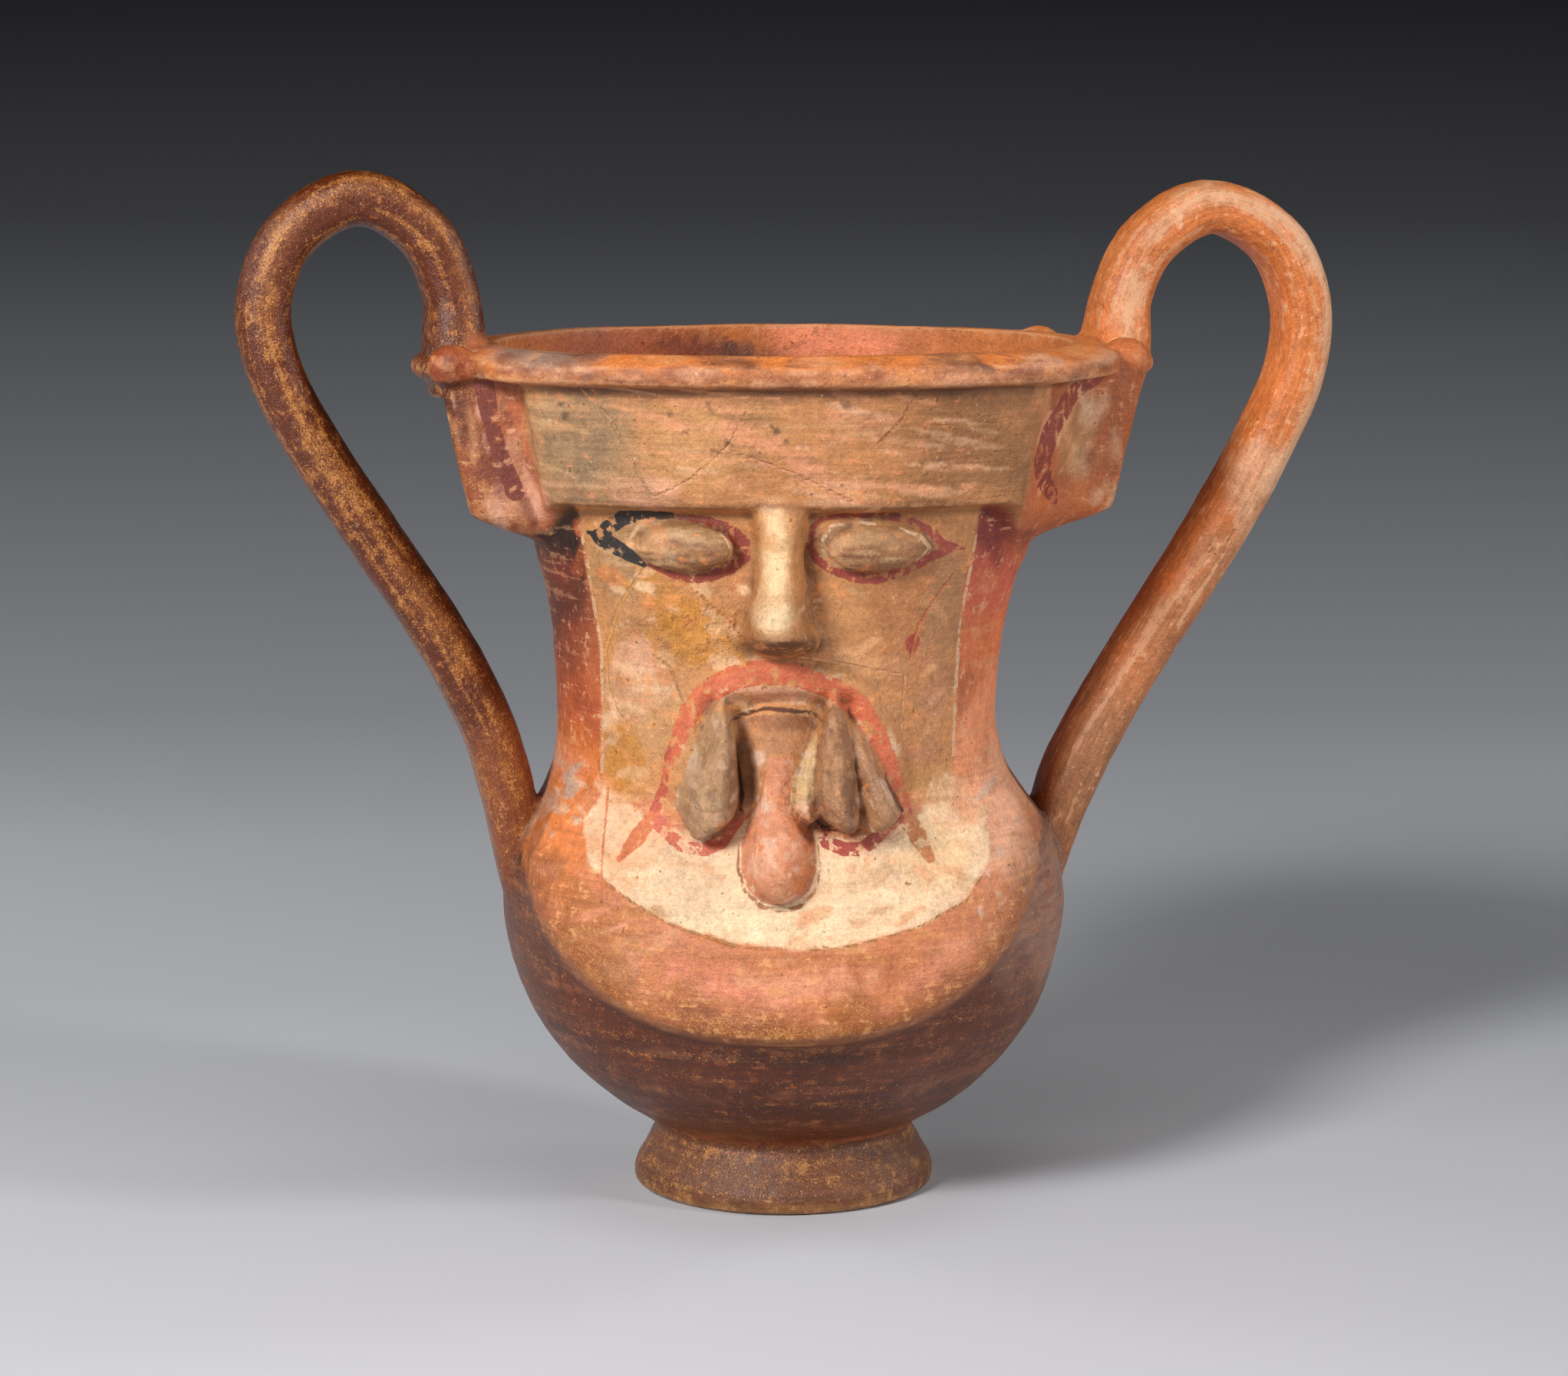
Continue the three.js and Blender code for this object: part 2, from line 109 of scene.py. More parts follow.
class Curve:
    """A smooth curve through (place, value) knots that never swings past them."""

    def __init__(self, knots: Knots) -> None:
        """Keeps the knots and the slope at each."""
        self.places = np.array([knot[0] for knot in knots], float)
        self.values = np.array([knot[1] for knot in knots], float)
        rises = np.diff(self.values) / np.diff(self.places)
        before = np.concatenate([rises[:1], rises])
        after = np.concatenate([rises, rises[-1:]])
        total = np.where(np.abs(before + after) < 1e-12, 1.0, before + after)
        self.slopes = np.where(before * after <= 0, 0.0, 2.0 * before * after / total)

    def __call__(self, place: float | Array) -> Array:
        """Reads the curve at each place, and holds its ends outside the knots."""
        place = np.asarray(place, float)
        i = np.clip(np.searchsorted(self.places, place) - 1, 0, len(self.places) - 2)
        width = self.places[i + 1] - self.places[i]
        t = np.clip((place - self.places[i]) / width, 0.0, 1.0)
        rise = self.values[i + 1] - self.values[i]
        lift = width * t * (1 - t) * ((1 - t) * self.slopes[i] - t * self.slopes[i + 1])
        return self.values[i] + rise * t * t * (3 - 2 * t) + lift


def oval_radius(angle: Array, half_width: Array, front: Array, back: Array, power: Array) -> Array:
    """Radius of a rounded oval.

    Args:
        angle: Angle from the front, in radians.
        half_width: Half of its width along X.
        front: Depth towards -Y.
        back: Depth towards +Y.
        power: 2 is round, and more makes the front squarer.

    Returns:
        The radius at each angle.
    """
    across = np.abs(np.sin(angle)) / half_width
    along = np.cos(angle)
    depth = np.where(along > 0, front, back)
    n = np.where(along > 0, power, 2.0)
    return (across**n + (np.abs(along) / depth) ** n) ** (-1.0 / n)


@dataclass(frozen=True)
class BroadU:
    """The outline of a broad U in the front view."""

    x: float
    top: float
    half_width: float
    depth: float
    power: float

    def inside(self, x: Array, z: Array) -> Array:
        """How far each point lies inside the U."""
        across = (np.abs(x - self.x) / self.half_width) ** self.power
        down = (np.maximum(self.top - z, 0.0) / self.depth) ** self.power
        return (1.0 - (across + down) ** (1.0 / self.power)) * self.depth


class Grain:
    """Seeded lattice noise in space, from about -1 to 1."""

    def __init__(self, seed: int) -> None:
        """Draws the lattice's values."""
        self.table = np.random.default_rng(seed).uniform(-1.0, 1.0, (32, 32, 32))

    def layer(self, points: Array, size: Sequence[float]) -> Array:
        """One layer of noise.

        Args:
            points: Points, one a row.
            size: Length of one lattice cell along each axis.

        Returns:
            One value a point.
        """
        place = points / np.array(size, float) + 7.3
        cell = np.floor(place).astype(int)
        t = place - cell
        t = t * t * (3.0 - 2.0 * t)
        total = np.zeros(len(points))
        for corner in range(8):
            step = np.array([corner & 1, corner >> 1 & 1, corner >> 2 & 1])
            share = np.prod(np.where(step == 1, t, 1.0 - t), axis=1)
            a, b, c = ((cell + step) % 32).T
            total += share * self.table[a, b, c]
        return total

    def cloud(
        self, points: Array, size: float, layers: int = 4, stretch: Sequence[float] = (1, 1, 1)
    ) -> Array:
        """Layers of noise, each half as large and half as strong as the one before."""
        total = np.zeros(len(points))
        for i in range(layers):
            cell = [size * s / 2**i for s in stretch]
            total += self.layer(points + 31.7 * i, cell) / 2**i
        return total


class Bench:
    """The operators that shape one mesh at a time, as hands do."""

    BEND_ROUNDS = 8

    @staticmethod
    def take(piece: Piece) -> Piece:
        """Selects one piece alone and makes it the active one."""
        bpy.ops.object.select_all(action="DESELECT")
        piece.select_set(True)
        bpy.context.view_layer.objects.active = piece
        return piece

    @staticmethod
    def open() -> None:
        """Opens the active piece for editing, all of it selected."""
        bpy.ops.object.mode_set(mode="EDIT")
        bpy.ops.mesh.select_all(action="SELECT")

    @staticmethod
    def open_ends() -> None:
        """Selects the corners at the open ends of the piece being edited, and nothing else."""
        bpy.ops.mesh.select_all(action="DESELECT")
        bpy.ops.mesh.select_mode(type="VERT")
        bpy.ops.mesh.select_non_manifold()

    @staticmethod
    def face_out() -> None:
        """Leaves edit mode with every face pointing out."""
        bpy.ops.mesh.select_all(action="SELECT")
        bpy.ops.mesh.normals_make_consistent(inside=False)
        bpy.ops.object.mode_set(mode="OBJECT")

    @staticmethod
    def ring(name: str, corners: int, radius: float, centre: Sequence[float]) -> Piece:
        """Adds a flat ring and opens it for editing, all of it selected."""
        bpy.ops.object.select_all(action="DESELECT")
        bpy.ops.mesh.primitive_circle_add(vertices=corners, radius=radius, location=(0, 0, 0))
        piece = bpy.context.object
        piece.name = name
        Bench.open()
        bpy.ops.transform.translate(value=tuple(centre))
        return piece

    @staticmethod
    def grow(
        step: Sequence[float], centre: Sequence[float], scale: Sequence[float], turn: float = 0.0
    ) -> None:
        """Extrudes the open ring, then turns and resizes it.

        Args:
            step: How far the new ring stands from the last.
            centre: The new ring's centre.
            scale: How much larger it is along each axis.
            turn: Its turn about Y, in radians.
        """
        bpy.ops.mesh.extrude_region_move(TRANSFORM_OT_translate={"value": tuple(step)})
        if turn:
            bpy.ops.transform.rotate(value=-turn, orient_axis="Y", center_override=tuple(centre))
        if any(abs(s - 1.0) > 1e-6 for s in scale):
            bpy.ops.transform.resize(value=tuple(scale), center_override=tuple(centre))

    @staticmethod
    def climb(heights: Sequence[float], start: float) -> float:
        """Extrudes the open ring straight to each height in turn, from start, and returns the last."""
        height = start
        for next_height in heights:
            Bench.grow((0, 0, next_height - height), (0, 0, next_height), (1, 1, 1))
            height = next_height
        return height

    @staticmethod
    def narrow(radii: Sequence[float], height: float) -> None:
        """Draws the open ring in from the first radius through the others, and closes its middle."""
        for before, after in zip(radii[:-1], radii[1:]):
            Bench.grow((0, 0, 0), (0, 0, height), (after / before, after / before, 1))
        bpy.ops.mesh.edge_face_add()
        bpy.ops.mesh.poke()

    @staticmethod
    def close_ends() -> None:
        """Fills the open rings and leaves edit mode with every face pointing out."""
        Bench.open_ends()
        bpy.ops.mesh.edge_face_add()
        Bench.face_out()

    @staticmethod
    def finish(piece: Piece, kind: str, **values: object) -> None:
        """Adds a modifier, sets its values and applies it."""
        Bench.take(piece)
        modifier = piece.modifiers.new(kind.lower(), kind)
        for name, value in values.items():
            setattr(modifier, name, value)
        bpy.ops.object.modifier_apply(modifier=modifier.name)

    @staticmethod
    def settle(piece: Piece) -> None:
        """Puts a piece's place, turn and scale into its mesh."""
        Bench.take(piece)
        bpy.ops.object.transform_apply(location=True, rotation=True, scale=True)

    @staticmethod
    def points(piece: Piece) -> Array:
        """The mesh's corners, one a row."""
        flat = np.empty(len(piece.data.vertices) * 3, np.float32)
        piece.data.vertices.foreach_get("co", flat)
        return flat.reshape(-1, 3).astype(float)

    @staticmethod
    def place(piece: Piece, points: Array) -> None:
        """Moves the mesh's corners."""
        piece.data.vertices.foreach_set("co", points.astype(np.float32).ravel())
        piece.data.update()

    @staticmethod
    def write(piece: Piece, name: str, values: Array) -> None:
        """Writes a number, a vector or a colour at each corner, by the shape of the values."""
        kinds = {1: ("FLOAT", "value"), 3: ("FLOAT_VECTOR", "vector"), 4: ("FLOAT_COLOR", "color")}
        kind, key = kinds[1 if values.ndim == 1 else values.shape[1]]
        layer = piece.data.attributes.new(name, kind, "POINT")
        layer.data.foreach_set(key, values.astype(np.float32).ravel())

    @staticmethod
    def bend(piece: Piece) -> Array:
        """How far each corner stands out of its neighbourhood: edges above 0, hollows below."""
        pairs = np.empty(len(piece.data.edges) * 2, np.int32)
        piece.data.edges.foreach_get("vertices", pairs)
        a, b = pairs.reshape(-1, 2).T
        points = Bench.points(piece)
        size = len(points)
        count = np.maximum(np.bincount(a, minlength=size) + np.bincount(b, minlength=size), 1)
        soft = points.copy()
        for _ in range(Bench.BEND_ROUNDS):
            total = [np.bincount(a, soft[b, k], size) + np.bincount(b, soft[a, k], size) for k in range(3)]
            soft = 0.5 * soft + 0.5 * np.stack(total, axis=1) / count[:, None]
        return np.einsum("ij,ij->i", points - soft, Bench.normals(piece))

    @staticmethod
    def normals(piece: Piece) -> Array:
        """The mesh's normals at its corners, one a row."""
        flat = np.empty(len(piece.data.vertices) * 3, np.float32)
        piece.data.vertex_normals.foreach_get("vector", flat)
        return flat.reshape(-1, 3).astype(float)


TURNED: Knots = (
    (0, 35.6), (1.4, 37.3), (3.5, 37.4), (10.5, 34.2), (15.5, 32), (17.7, 34.2), (23.5, 43.2), (29.5, 50.4),
    (35.5, 56), (47.5, 63.7), (60.5, 68.2), (72.5, 69.9), (82.5, 68.4), (92.5, 64.5),
)


@dataclass
class Wall:
    """The turned foot, bowl and neck, the block above the mask, and the lip, with their inside."""

    thickness: float = 5.0
    floor: float = 22.5
    rim_under: float = 203.5
    rim_top: float = 211.0
    rim_step: Pair = (-0.4, 1.0)
    side: Knots = (
        *TURNED, (101.5, 59), (108.5, 55.8), (120.5, 54.3), (137.5, 55.2), (152.5, 58), (162.5, 61),
        (211, 64),
    )
    front: Knots = (
        *TURNED, (101.5, 60.5), (108.5, 57.8), (120.5, 56.2), (152.5, 55.4), (170.5, 56.2), (211, 58),
    )
    block: Knots = (
        (-180, 75), (-132, 75), (-116, 76), (-104, 83), (-92, 80.5), (-78, 81.5), (-67, 88.5), (-58, 73.5),
        (-51, 77.5), (-42, 74.6), (-25, 69), (0, 65.8), (25, 69), (42, 74.6), (51, 77.5), (60, 73.6),
        (70, 72.6), (78, 80), (84.5, 88), (91, 85), (99, 80), (112, 78), (123, 82), (136, 76), (150, 75),
        (180, 75),
    )
    block_lean: float = 0.0026
    least_wall: float = 3.4
    lip: tuple[float, float, float, float] = (81.5, 69.5, 78.2, 2.7)
    lip_bevel: float = 5.5
    bevel_start: float = 208.5
    ledge_front: Pair = (173.5, 175.9)
    ledge_side: Pair = (162.0, 171.5)
    ledge_turn: Pair = (47.0, 64.0)
    sway: Knots = ((92.5, 0), (122.5, -2), (152.5, -1.2), (174, 0), (211, 0))
    squareness: Knots = ((0, 2), (100, 2), (118, 2.3), (211, 2.3))
    beard: BroadU = BroadU(x=-1, top=110.5, half_width=64, depth=59.5, power=2.6)
    beard_swell: Pair = (9.5, 5.0)
    beard_reach: float = 28.0
    beard_edge: float = 3.6
    beard_lap: float = 2.5
    beard_least: float = 1.5
    beard_fade: Pair = (100.5, 118.5)
    chin: BroadU = BroadU(x=0, top=112.5, half_width=48, depth=39, power=2.2)
    chin_sink: float = 1.6
    chin_edge: Pair = (-1.0, 1.5)
    mouth_middle: float = 0.5
    mouth_half_width: float = 19.0
    mouth_heights: Pair = (110.5, 132.5)
    mouth_sink: float = 2.4
    mouth_sides: Pair = (1.0, -2.0)
    mouth_fade: Pair = (6.0, 3.0)
    lip_arch: tuple[float, float, float] = (24.5, 108.5, 136.5)
    lip_arch_ends: tuple[float, float, int] = (-4.0, 184.0, 80)
    lip_roll: Pair = (5.0, 2.6)
    lip_roll_box: tuple[float, float, float] = (40.0, 95.0, 146.0)
    lip_roll_fade: Pair = (100.0, 112.0)
    relief_facing: float = 0.35
    hollow_middle: float = 72.5
    hollow_grow: Pair = (160.5, 188.5)
    hollow_block: tuple[float, float, float] = (70.0, 60.0, 70.0)
    hollow_least: float = 8.0
    hollow_square: float = 0.2
    foot_hollow: tuple[float, float, float] = (29.0, 25.0, 7.0)
    foot_roof: float = 11.0
    columns: int = 96
    blank_outside: float = 60.0
    blank_inside: float = 50.0
    blank_edge: float = 0.5
    level_gap: float = 1e-3
    heights: Sequence[float] = (
        0.8, 1.6, 3.5, 6, 9, 12, 14, 15.5, 16.6, 17.7, 20, 23.5, 27, 31, 35.5, 40, 45, 50, 55, 60, 65, 70,
        75, 80, 85, 90, 95, 100, 104, 108, 112, 116, 120, 124, 128, 132, 136, 140, 145, 150, 155, 160, 163,
        166, 169, 171.5, 173, 174, 175, 176, 177.5, 181, 186, 191, 196, 200, 202.6, 203.4, 204.2, 206, 208,
        209.5, 211,
    )
    inner_heights: Sequence[float] = (
        207, 203, 198, 192, 186, 180, 174, 168, 162, 155, 147, 139, 130, 121, 113, 106, 99, 92, 84, 76, 68,
        60, 52, 45, 39, 33, 28, 25,
    )
    floor_radii: Sequence[float] = (44, 36, 26, 14, 5)
    foot_heights: Sequence[float] = (4, 10)
    foot_radii: Sequence[float] = (42, 30, 16, 5)

    def __post_init__(self) -> None:
        """Makes the curves."""
        self.side_radius = Curve(self.side)
        self.front_radius = Curve(self.front)
        self.block_radius = Curve(self.block)
        self.square = Curve(self.squareness)
        self.shift = Curve(self.sway)

    def lip_radius(self, angle: Array, z: Array) -> Array:
        """Radius of the rim's lip, whose top slopes down outwards."""
        inset = self.lip_bevel * smooth(self.bevel_start, self.rim_top, z)
        return oval_radius(angle, *self.lip) - inset

    def radius(self, angle: Array, z: Array) -> Array:
        """Radius of the outside before the mask's relief."""
        degrees = (np.degrees(angle) + 180.0) % 360.0 - 180.0
        side = self.side_radius(z)
        neck = oval_radius(angle, side, self.front_radius(z), side, self.square(z))
        block = self.block_radius(degrees) * (1.0 - self.block_lean * np.maximum(self.rim_under - z, 0.0))
        block = np.maximum(block, self.inside_radius(angle, z) + self.least_wall)
        turned = smooth(*self.ledge_turn, np.abs(degrees))
        low = lerp(self.ledge_front[0], self.ledge_side[0], turned)
        high = lerp(self.ledge_front[1], self.ledge_side[1], turned)
        body = lerp(neck, block, smooth(low, high, z))
        start, end = self.rim_step
        return lerp(body, self.lip_radius(angle, z), smooth(self.rim_under + start, self.rim_under + end, z))

    def arch_distance(self, x: Array, z: Array) -> Array:
        """Distance in the front view from the arched upper lip's middle line."""
        half_width, low, high = self.lip_arch
        best = np.full(x.shape, NEVER)
        for turn in np.radians(np.linspace(*self.lip_arch_ends)):
            dx = x - (self.mouth_middle - half_width * math.cos(turn))
            dz = z - (low + (high - low) * math.sin(turn))
            best = np.minimum(best, dx * dx + dz * dz)
        return np.sqrt(best)

    def relief(self, x: Array, z: Array, facing: Array) -> Array:
        """Relief that stands forward of the turned wall, or sinks into it.

        Args:
            x: Place across the front view.
            z: Height.
            facing: 1 where the wall faces the front, and 0 at its sides.

        Returns:
            Millimetres forward.
        """
        inside = self.beard.inside(x, z)
        fade = 1.0 - smooth(*self.beard_fade, z)
        swell = lerp(self.beard_swell[1], self.beard_swell[0], facing * facing)
        slope = (1.0 - np.clip(inside / self.beard_reach, 0.0, 1.0)) ** 2
        proud = self.beard_least + (swell - self.beard_least) * slope
        beard = smooth(-self.beard_edge, self.beard_lap, inside) * fade * proud
        chin = self.chin_sink * smooth(*self.chin_edge, self.chin.inside(x, z)) * fade
        low, high = self.mouth_heights
        start, end = (self.mouth_half_width + step for step in self.mouth_sides)
        below, above = self.mouth_fade
        across = smooth(start, end, np.abs(x - self.mouth_middle))
        mouth = self.mouth_sink * across * smooth(low - below, low, z) * smooth(high, high - above, z)
        return beard - chin - mouth

    def lip_relief(self, x: Array, z: Array, facing: Array) -> Array:
        """Height of the upper lip's roll above the wall, with the same Args as the relief."""
        reach, proud = self.lip_roll
        half_width, low, high = self.lip_roll_box
        near = (np.abs(x) < half_width) & (z > low) & (z < high) & (facing > 0.5)
        height = np.zeros(x.shape)
        if near.any():
            distance = self.arch_distance(x[near], z[near]) / reach
            roll = np.sqrt(np.clip(1.0 - distance**2, 0.0, 1.0))
            height[near] = proud * roll * smooth(*self.lip_roll_fade, z[near])
        return height

    def outside(self, angle: Array, z: Array) -> Array:
        """Points of the outside at the angles and heights given."""
        radius = self.radius(angle, z)
        facing = np.maximum(np.cos(angle), 0.0)
        x = radius * np.sin(angle)
        forward = self.relief(x, z, facing) * smooth(0.0, self.relief_facing, facing)
        forward += self.lip_relief(x + self.shift(z), z, facing)
        return np.stack([x + self.shift(z), -radius * np.cos(angle) - forward, z], axis=1)

    def inside_radius(self, angle: Array, z: Array) -> Array:
        """Radius of the cup's hollow."""
        grow = smooth(*self.hollow_grow, z)
        under = z - self.thickness * (1.0 - smooth(self.floor, self.hollow_middle, z))
        inset = self.thickness + smooth(*self.beard_fade, z)
        width, front, back = self.hollow_block
        side = np.maximum(self.side_radius(under) - inset, self.hollow_least)
        ahead = np.maximum(self.front_radius(under) - inset, self.hollow_least)
        half_width = lerp(side, width, grow)
        power = 2.0 + self.hollow_square * grow
        return oval_radius(angle, half_width, lerp(ahead, front, grow), lerp(side, back, grow), power)

    def blank(self) -> Piece:
        """Stacks rings into a plain pot: up outside, over the rim, down inside, and up under the foot."""
        inside = self.blank_inside
        draw_in = (inside / self.blank_outside, inside / self.blank_outside, 1)
        wall = Bench.ring("wall", self.columns, self.blank_outside, (0, 0, 0))
        height = Bench.climb(self.heights, 0.0)
        Bench.grow((0, 0, 0), (0, 0, height), draw_in)
        height = Bench.climb((*self.inner_heights, self.floor), height)
        Bench.narrow((inside, *self.floor_radii), height)
        Bench.open_ends()
        Bench.grow((0, 0, 0), (0, 0, 0), draw_in)
        height = Bench.climb(self.foot_heights, 0.0)
        Bench.narrow((inside, *self.foot_radii), height)
        Bench.face_out()
        return wall

    def build(self) -> Piece:
        """Makes the blank finely divided and presses it into the cup's own shape."""
        wall = self.blank()
        Bench.finish(wall, "SUBSURF", subdivision_type="SIMPLE", levels=2, render_levels=2)
        points = Bench.points(wall)
        angle, reach = around(points)
        z = points[:, 2]
        gap = self.level_gap
        full = reach > self.blank_inside - self.blank_edge
        outer = reach > self.blank_outside - self.blank_edge
        rim = ~outer & (z > self.rim_top - gap)
        inner = full & (z > self.floor + gap) & ~outer & ~rim
        floor = (np.abs(z - self.floor) <= gap) & ~outer
        under = ~outer & (z < gap)
        foot = ~outer & (z >= gap) & (z <= self.foot_heights[-1] + gap)
        placed = points.copy()
        placed[outer] = self.outside(angle[outer], z[outer])
        placed[inner] = round_points(angle[inner], self.inside_radius(angle[inner], z[inner]), z[inner])
        opening, roof_radius, wall_top = self.foot_hollow
        rim_radius = self.inside_radius(angle[rim], z[rim])
        for edge, radius in ((rim, rim_radius), (under, np.full(under.sum(), opening))):
            share = ((self.blank_outside - reach[edge]) / (self.blank_outside - self.blank_inside))[:, None]
            outside = self.outside(angle[edge], z[edge])
            placed[edge] = lerp(outside, round_points(angle[edge], radius, z[edge]), share)
        floor_radius = self.inside_radius(angle[floor], z[floor]) * reach[floor] / self.blank_inside
        placed[floor] = round_points(angle[floor], floor_radius, z[floor])
        up = foot & full
        rise = z[up] / self.foot_heights[-1]
        placed[up] = round_points(angle[up], lerp(opening, roof_radius, rise), rise * wall_top)
        roof = foot & ~full
        share = reach[roof] / self.blank_inside
        height = wall_top + (self.foot_roof - wall_top) * (1.0 - share**2)
        placed[roof] = round_points(angle[roof], share * roof_radius, height)
        Bench.place(wall, placed)
        return wall


@dataclass
class Handle:
    """A flattened bar that grows out of its saddle, loops high over the rim and thins to a tail."""

    name: str
    route: Knots
    turn: float
    thick: float = 13.4
    wide: float = 22.0
    fullness: float = 0.65
    root: Pair = (16.0, 31.0)
    root_share: Pair = (0.02, 0.09)
    tail_share: float = 0.84
    tail_shrink: Pair = (0.45, 0.35)
    half_reach: float = 11.0
    samples: int = 24
    corners: int = 24
    steps: int = 72

    def path(self) -> tuple[Array, Array]:
        """The middle line of the bar.

        Returns:
            Its points as rows of reach and height, evenly spaced, and its direction at each.
        """
        knots = np.array(self.route, float)
        knots = np.vstack([2 * knots[0] - knots[1], knots, 2 * knots[-1] - knots[-2]])
        dense = []
        for i in range(1, len(knots) - 2):
            a, b, c, d = knots[i - 1 : i + 3]
            t1 = math.dist(a, b) ** 0.5
            t2 = t1 + math.dist(b, c) ** 0.5
            t3 = t2 + math.dist(c, d) ** 0.5
            for t in np.linspace(t1, t2, self.samples, endpoint=False):
                ab = lerp(a, b, t / t1)
                bc = lerp(b, c, (t - t1) / (t2 - t1))
                cd = lerp(c, d, (t - t2) / (t3 - t2))
                abc = lerp(ab, bc, t / t2)
                bcd = lerp(bc, cd, (t - t1) / (t3 - t1))
                dense.append(lerp(abc, bcd, (t - t1) / (t2 - t1)))
        dense.append(knots[-2])
        dense = np.array(dense)
        length = np.concatenate([[0.0], np.cumsum(np.hypot(*np.diff(dense, axis=0).T))])
        even = np.linspace(0.0, length[-1], self.steps + 1)
        points = np.stack([np.interp(even, length, dense[:, k]) for k in range(2)], axis=1)
        direction = np.gradient(points, axis=0)
        return points, direction / np.hypot(*direction.T)[:, None]

    def size(self, along: float) -> tuple[float, float]:
        """Thickness and width of the bar at a share of its length."""
        root = 1.0 - float(smooth(*self.root_share, np.float64(along)))
        tail = float(smooth(self.tail_share, 1.0, np.float64(along)))
        thick = lerp(self.thick, self.root[0], root) * (1.0 - self.tail_shrink[0] * tail)
        wide = lerp(self.wide, self.root[1], root) * (1.0 - self.tail_shrink[1] * tail)
        return float(thick), float(wide)

    def build(self) -> Piece:
        """Sweeps the bar's section along its route, closes it and turns it to its side of the cup."""
        points, direction = self.path()
        thick, wide = self.size(0.0)
        bar = Bench.ring(self.name, self.corners, 1.0, (0, 0, 0))
        bpy.ops.object.mode_set(mode="OBJECT")
        section = Bench.points(bar)
        turn = np.arctan2(section[:, 1], section[:, 0])
        for axis, half, share in ((0, thick / 2, np.cos(turn)), (1, wide / 2, np.sin(turn))):
            section[:, axis] = half * np.sign(share) * np.abs(share) ** self.fullness
        Bench.place(bar, section)
        Bench.open()
        angle = math.atan2(direction[0, 0], direction[0, 1])
        bpy.ops.transform.rotate(value=-angle, orient_axis="Y", center_override=(0, 0, 0))
        bpy.ops.transform.translate(value=(points[0, 0], 0, points[0, 1]))
        for i in range(1, self.steps + 1):
            step = points[i] - points[i - 1]
            next_angle = math.atan2(direction[i, 0], direction[i, 1])
            bend = (next_angle - angle + math.pi) % (2 * math.pi) - math.pi
            next_thick, next_wide = self.size(i / self.steps)
            scale = (next_thick / thick, next_wide / wide, next_thick / thick)
            Bench.grow((step[0], 0, step[1]), (points[i, 0], 0, points[i, 1]), scale, bend)
            angle, thick, wide = next_angle, next_thick, next_wide
        Bench.close_ends()
        bar.rotation_euler = (0, 0, self.turn)
        Bench.settle(bar)
        return bar

    def along(self, points: Array) -> tuple[Array, Array, Array]:
        """Where points lie on the bar.

        Args:
            points: Points of the finished cup.

        Returns:
            Share of the length, side of the bar from -1, its inner edge, to 1, its outer edge, and distance
            from the middle line.
        """
        line, direction = self.path()
        reach = points[:, 0] * math.cos(self.turn) + points[:, 1] * math.sin(self.turn)
        flat = np.stack([reach, points[:, 2]], axis=1)
        best = np.full(len(points), NEVER)
        nearest = np.zeros(len(points), int)
        for i, place in enumerate(line):
            distance = np.hypot(*(flat - place).T)
            closer = distance < best
            best[closer] = distance[closer]
            nearest[closer] = i
        offset = flat - line[nearest]
        out = offset[:, 0] * direction[nearest, 1] - offset[:, 1] * direction[nearest, 0]
        beyond = np.maximum(np.abs(self.across(points)) - self.half_reach, 0.0)
        return nearest / self.steps, out / (self.thick / 2), np.hypot(best, beyond)

    def across(self, points: Array) -> Array:
        """How far points lie to the side of the upright plane that the bar loops in."""
        return -points[:, 0] * math.sin(self.turn) + points[:, 1] * math.cos(self.turn)


@dataclass
class Bead:
    """A pressed ball of clay: an eye, a knob, or the saddle under a handle's root."""

    name: str
    centre: tuple[float, float, float]
    radii: tuple[float, float, float]
    turn: float = 0.0
    segments: int = 40
    rings: int = 24

    def build(self) -> Piece:
        """Presses a ball to its size and sets it in place."""
        bpy.ops.object.select_all(action="DESELECT")
        bpy.ops.mesh.primitive_uv_sphere_add(
            segments=self.segments, ring_count=self.rings, radius=1.0, location=(0, 0, 0)
        )
        bead = bpy.context.object
        bead.name = self.name
        Bench.open()
        bpy.ops.transform.resize(value=self.radii, center_override=(0, 0, 0))
        bpy.ops.transform.rotate(value=-self.turn, orient_axis="Z", center_override=(0, 0, 0))
        bpy.ops.transform.translate(value=self.centre)
        bpy.ops.object.mode_set(mode="OBJECT")
        return bead


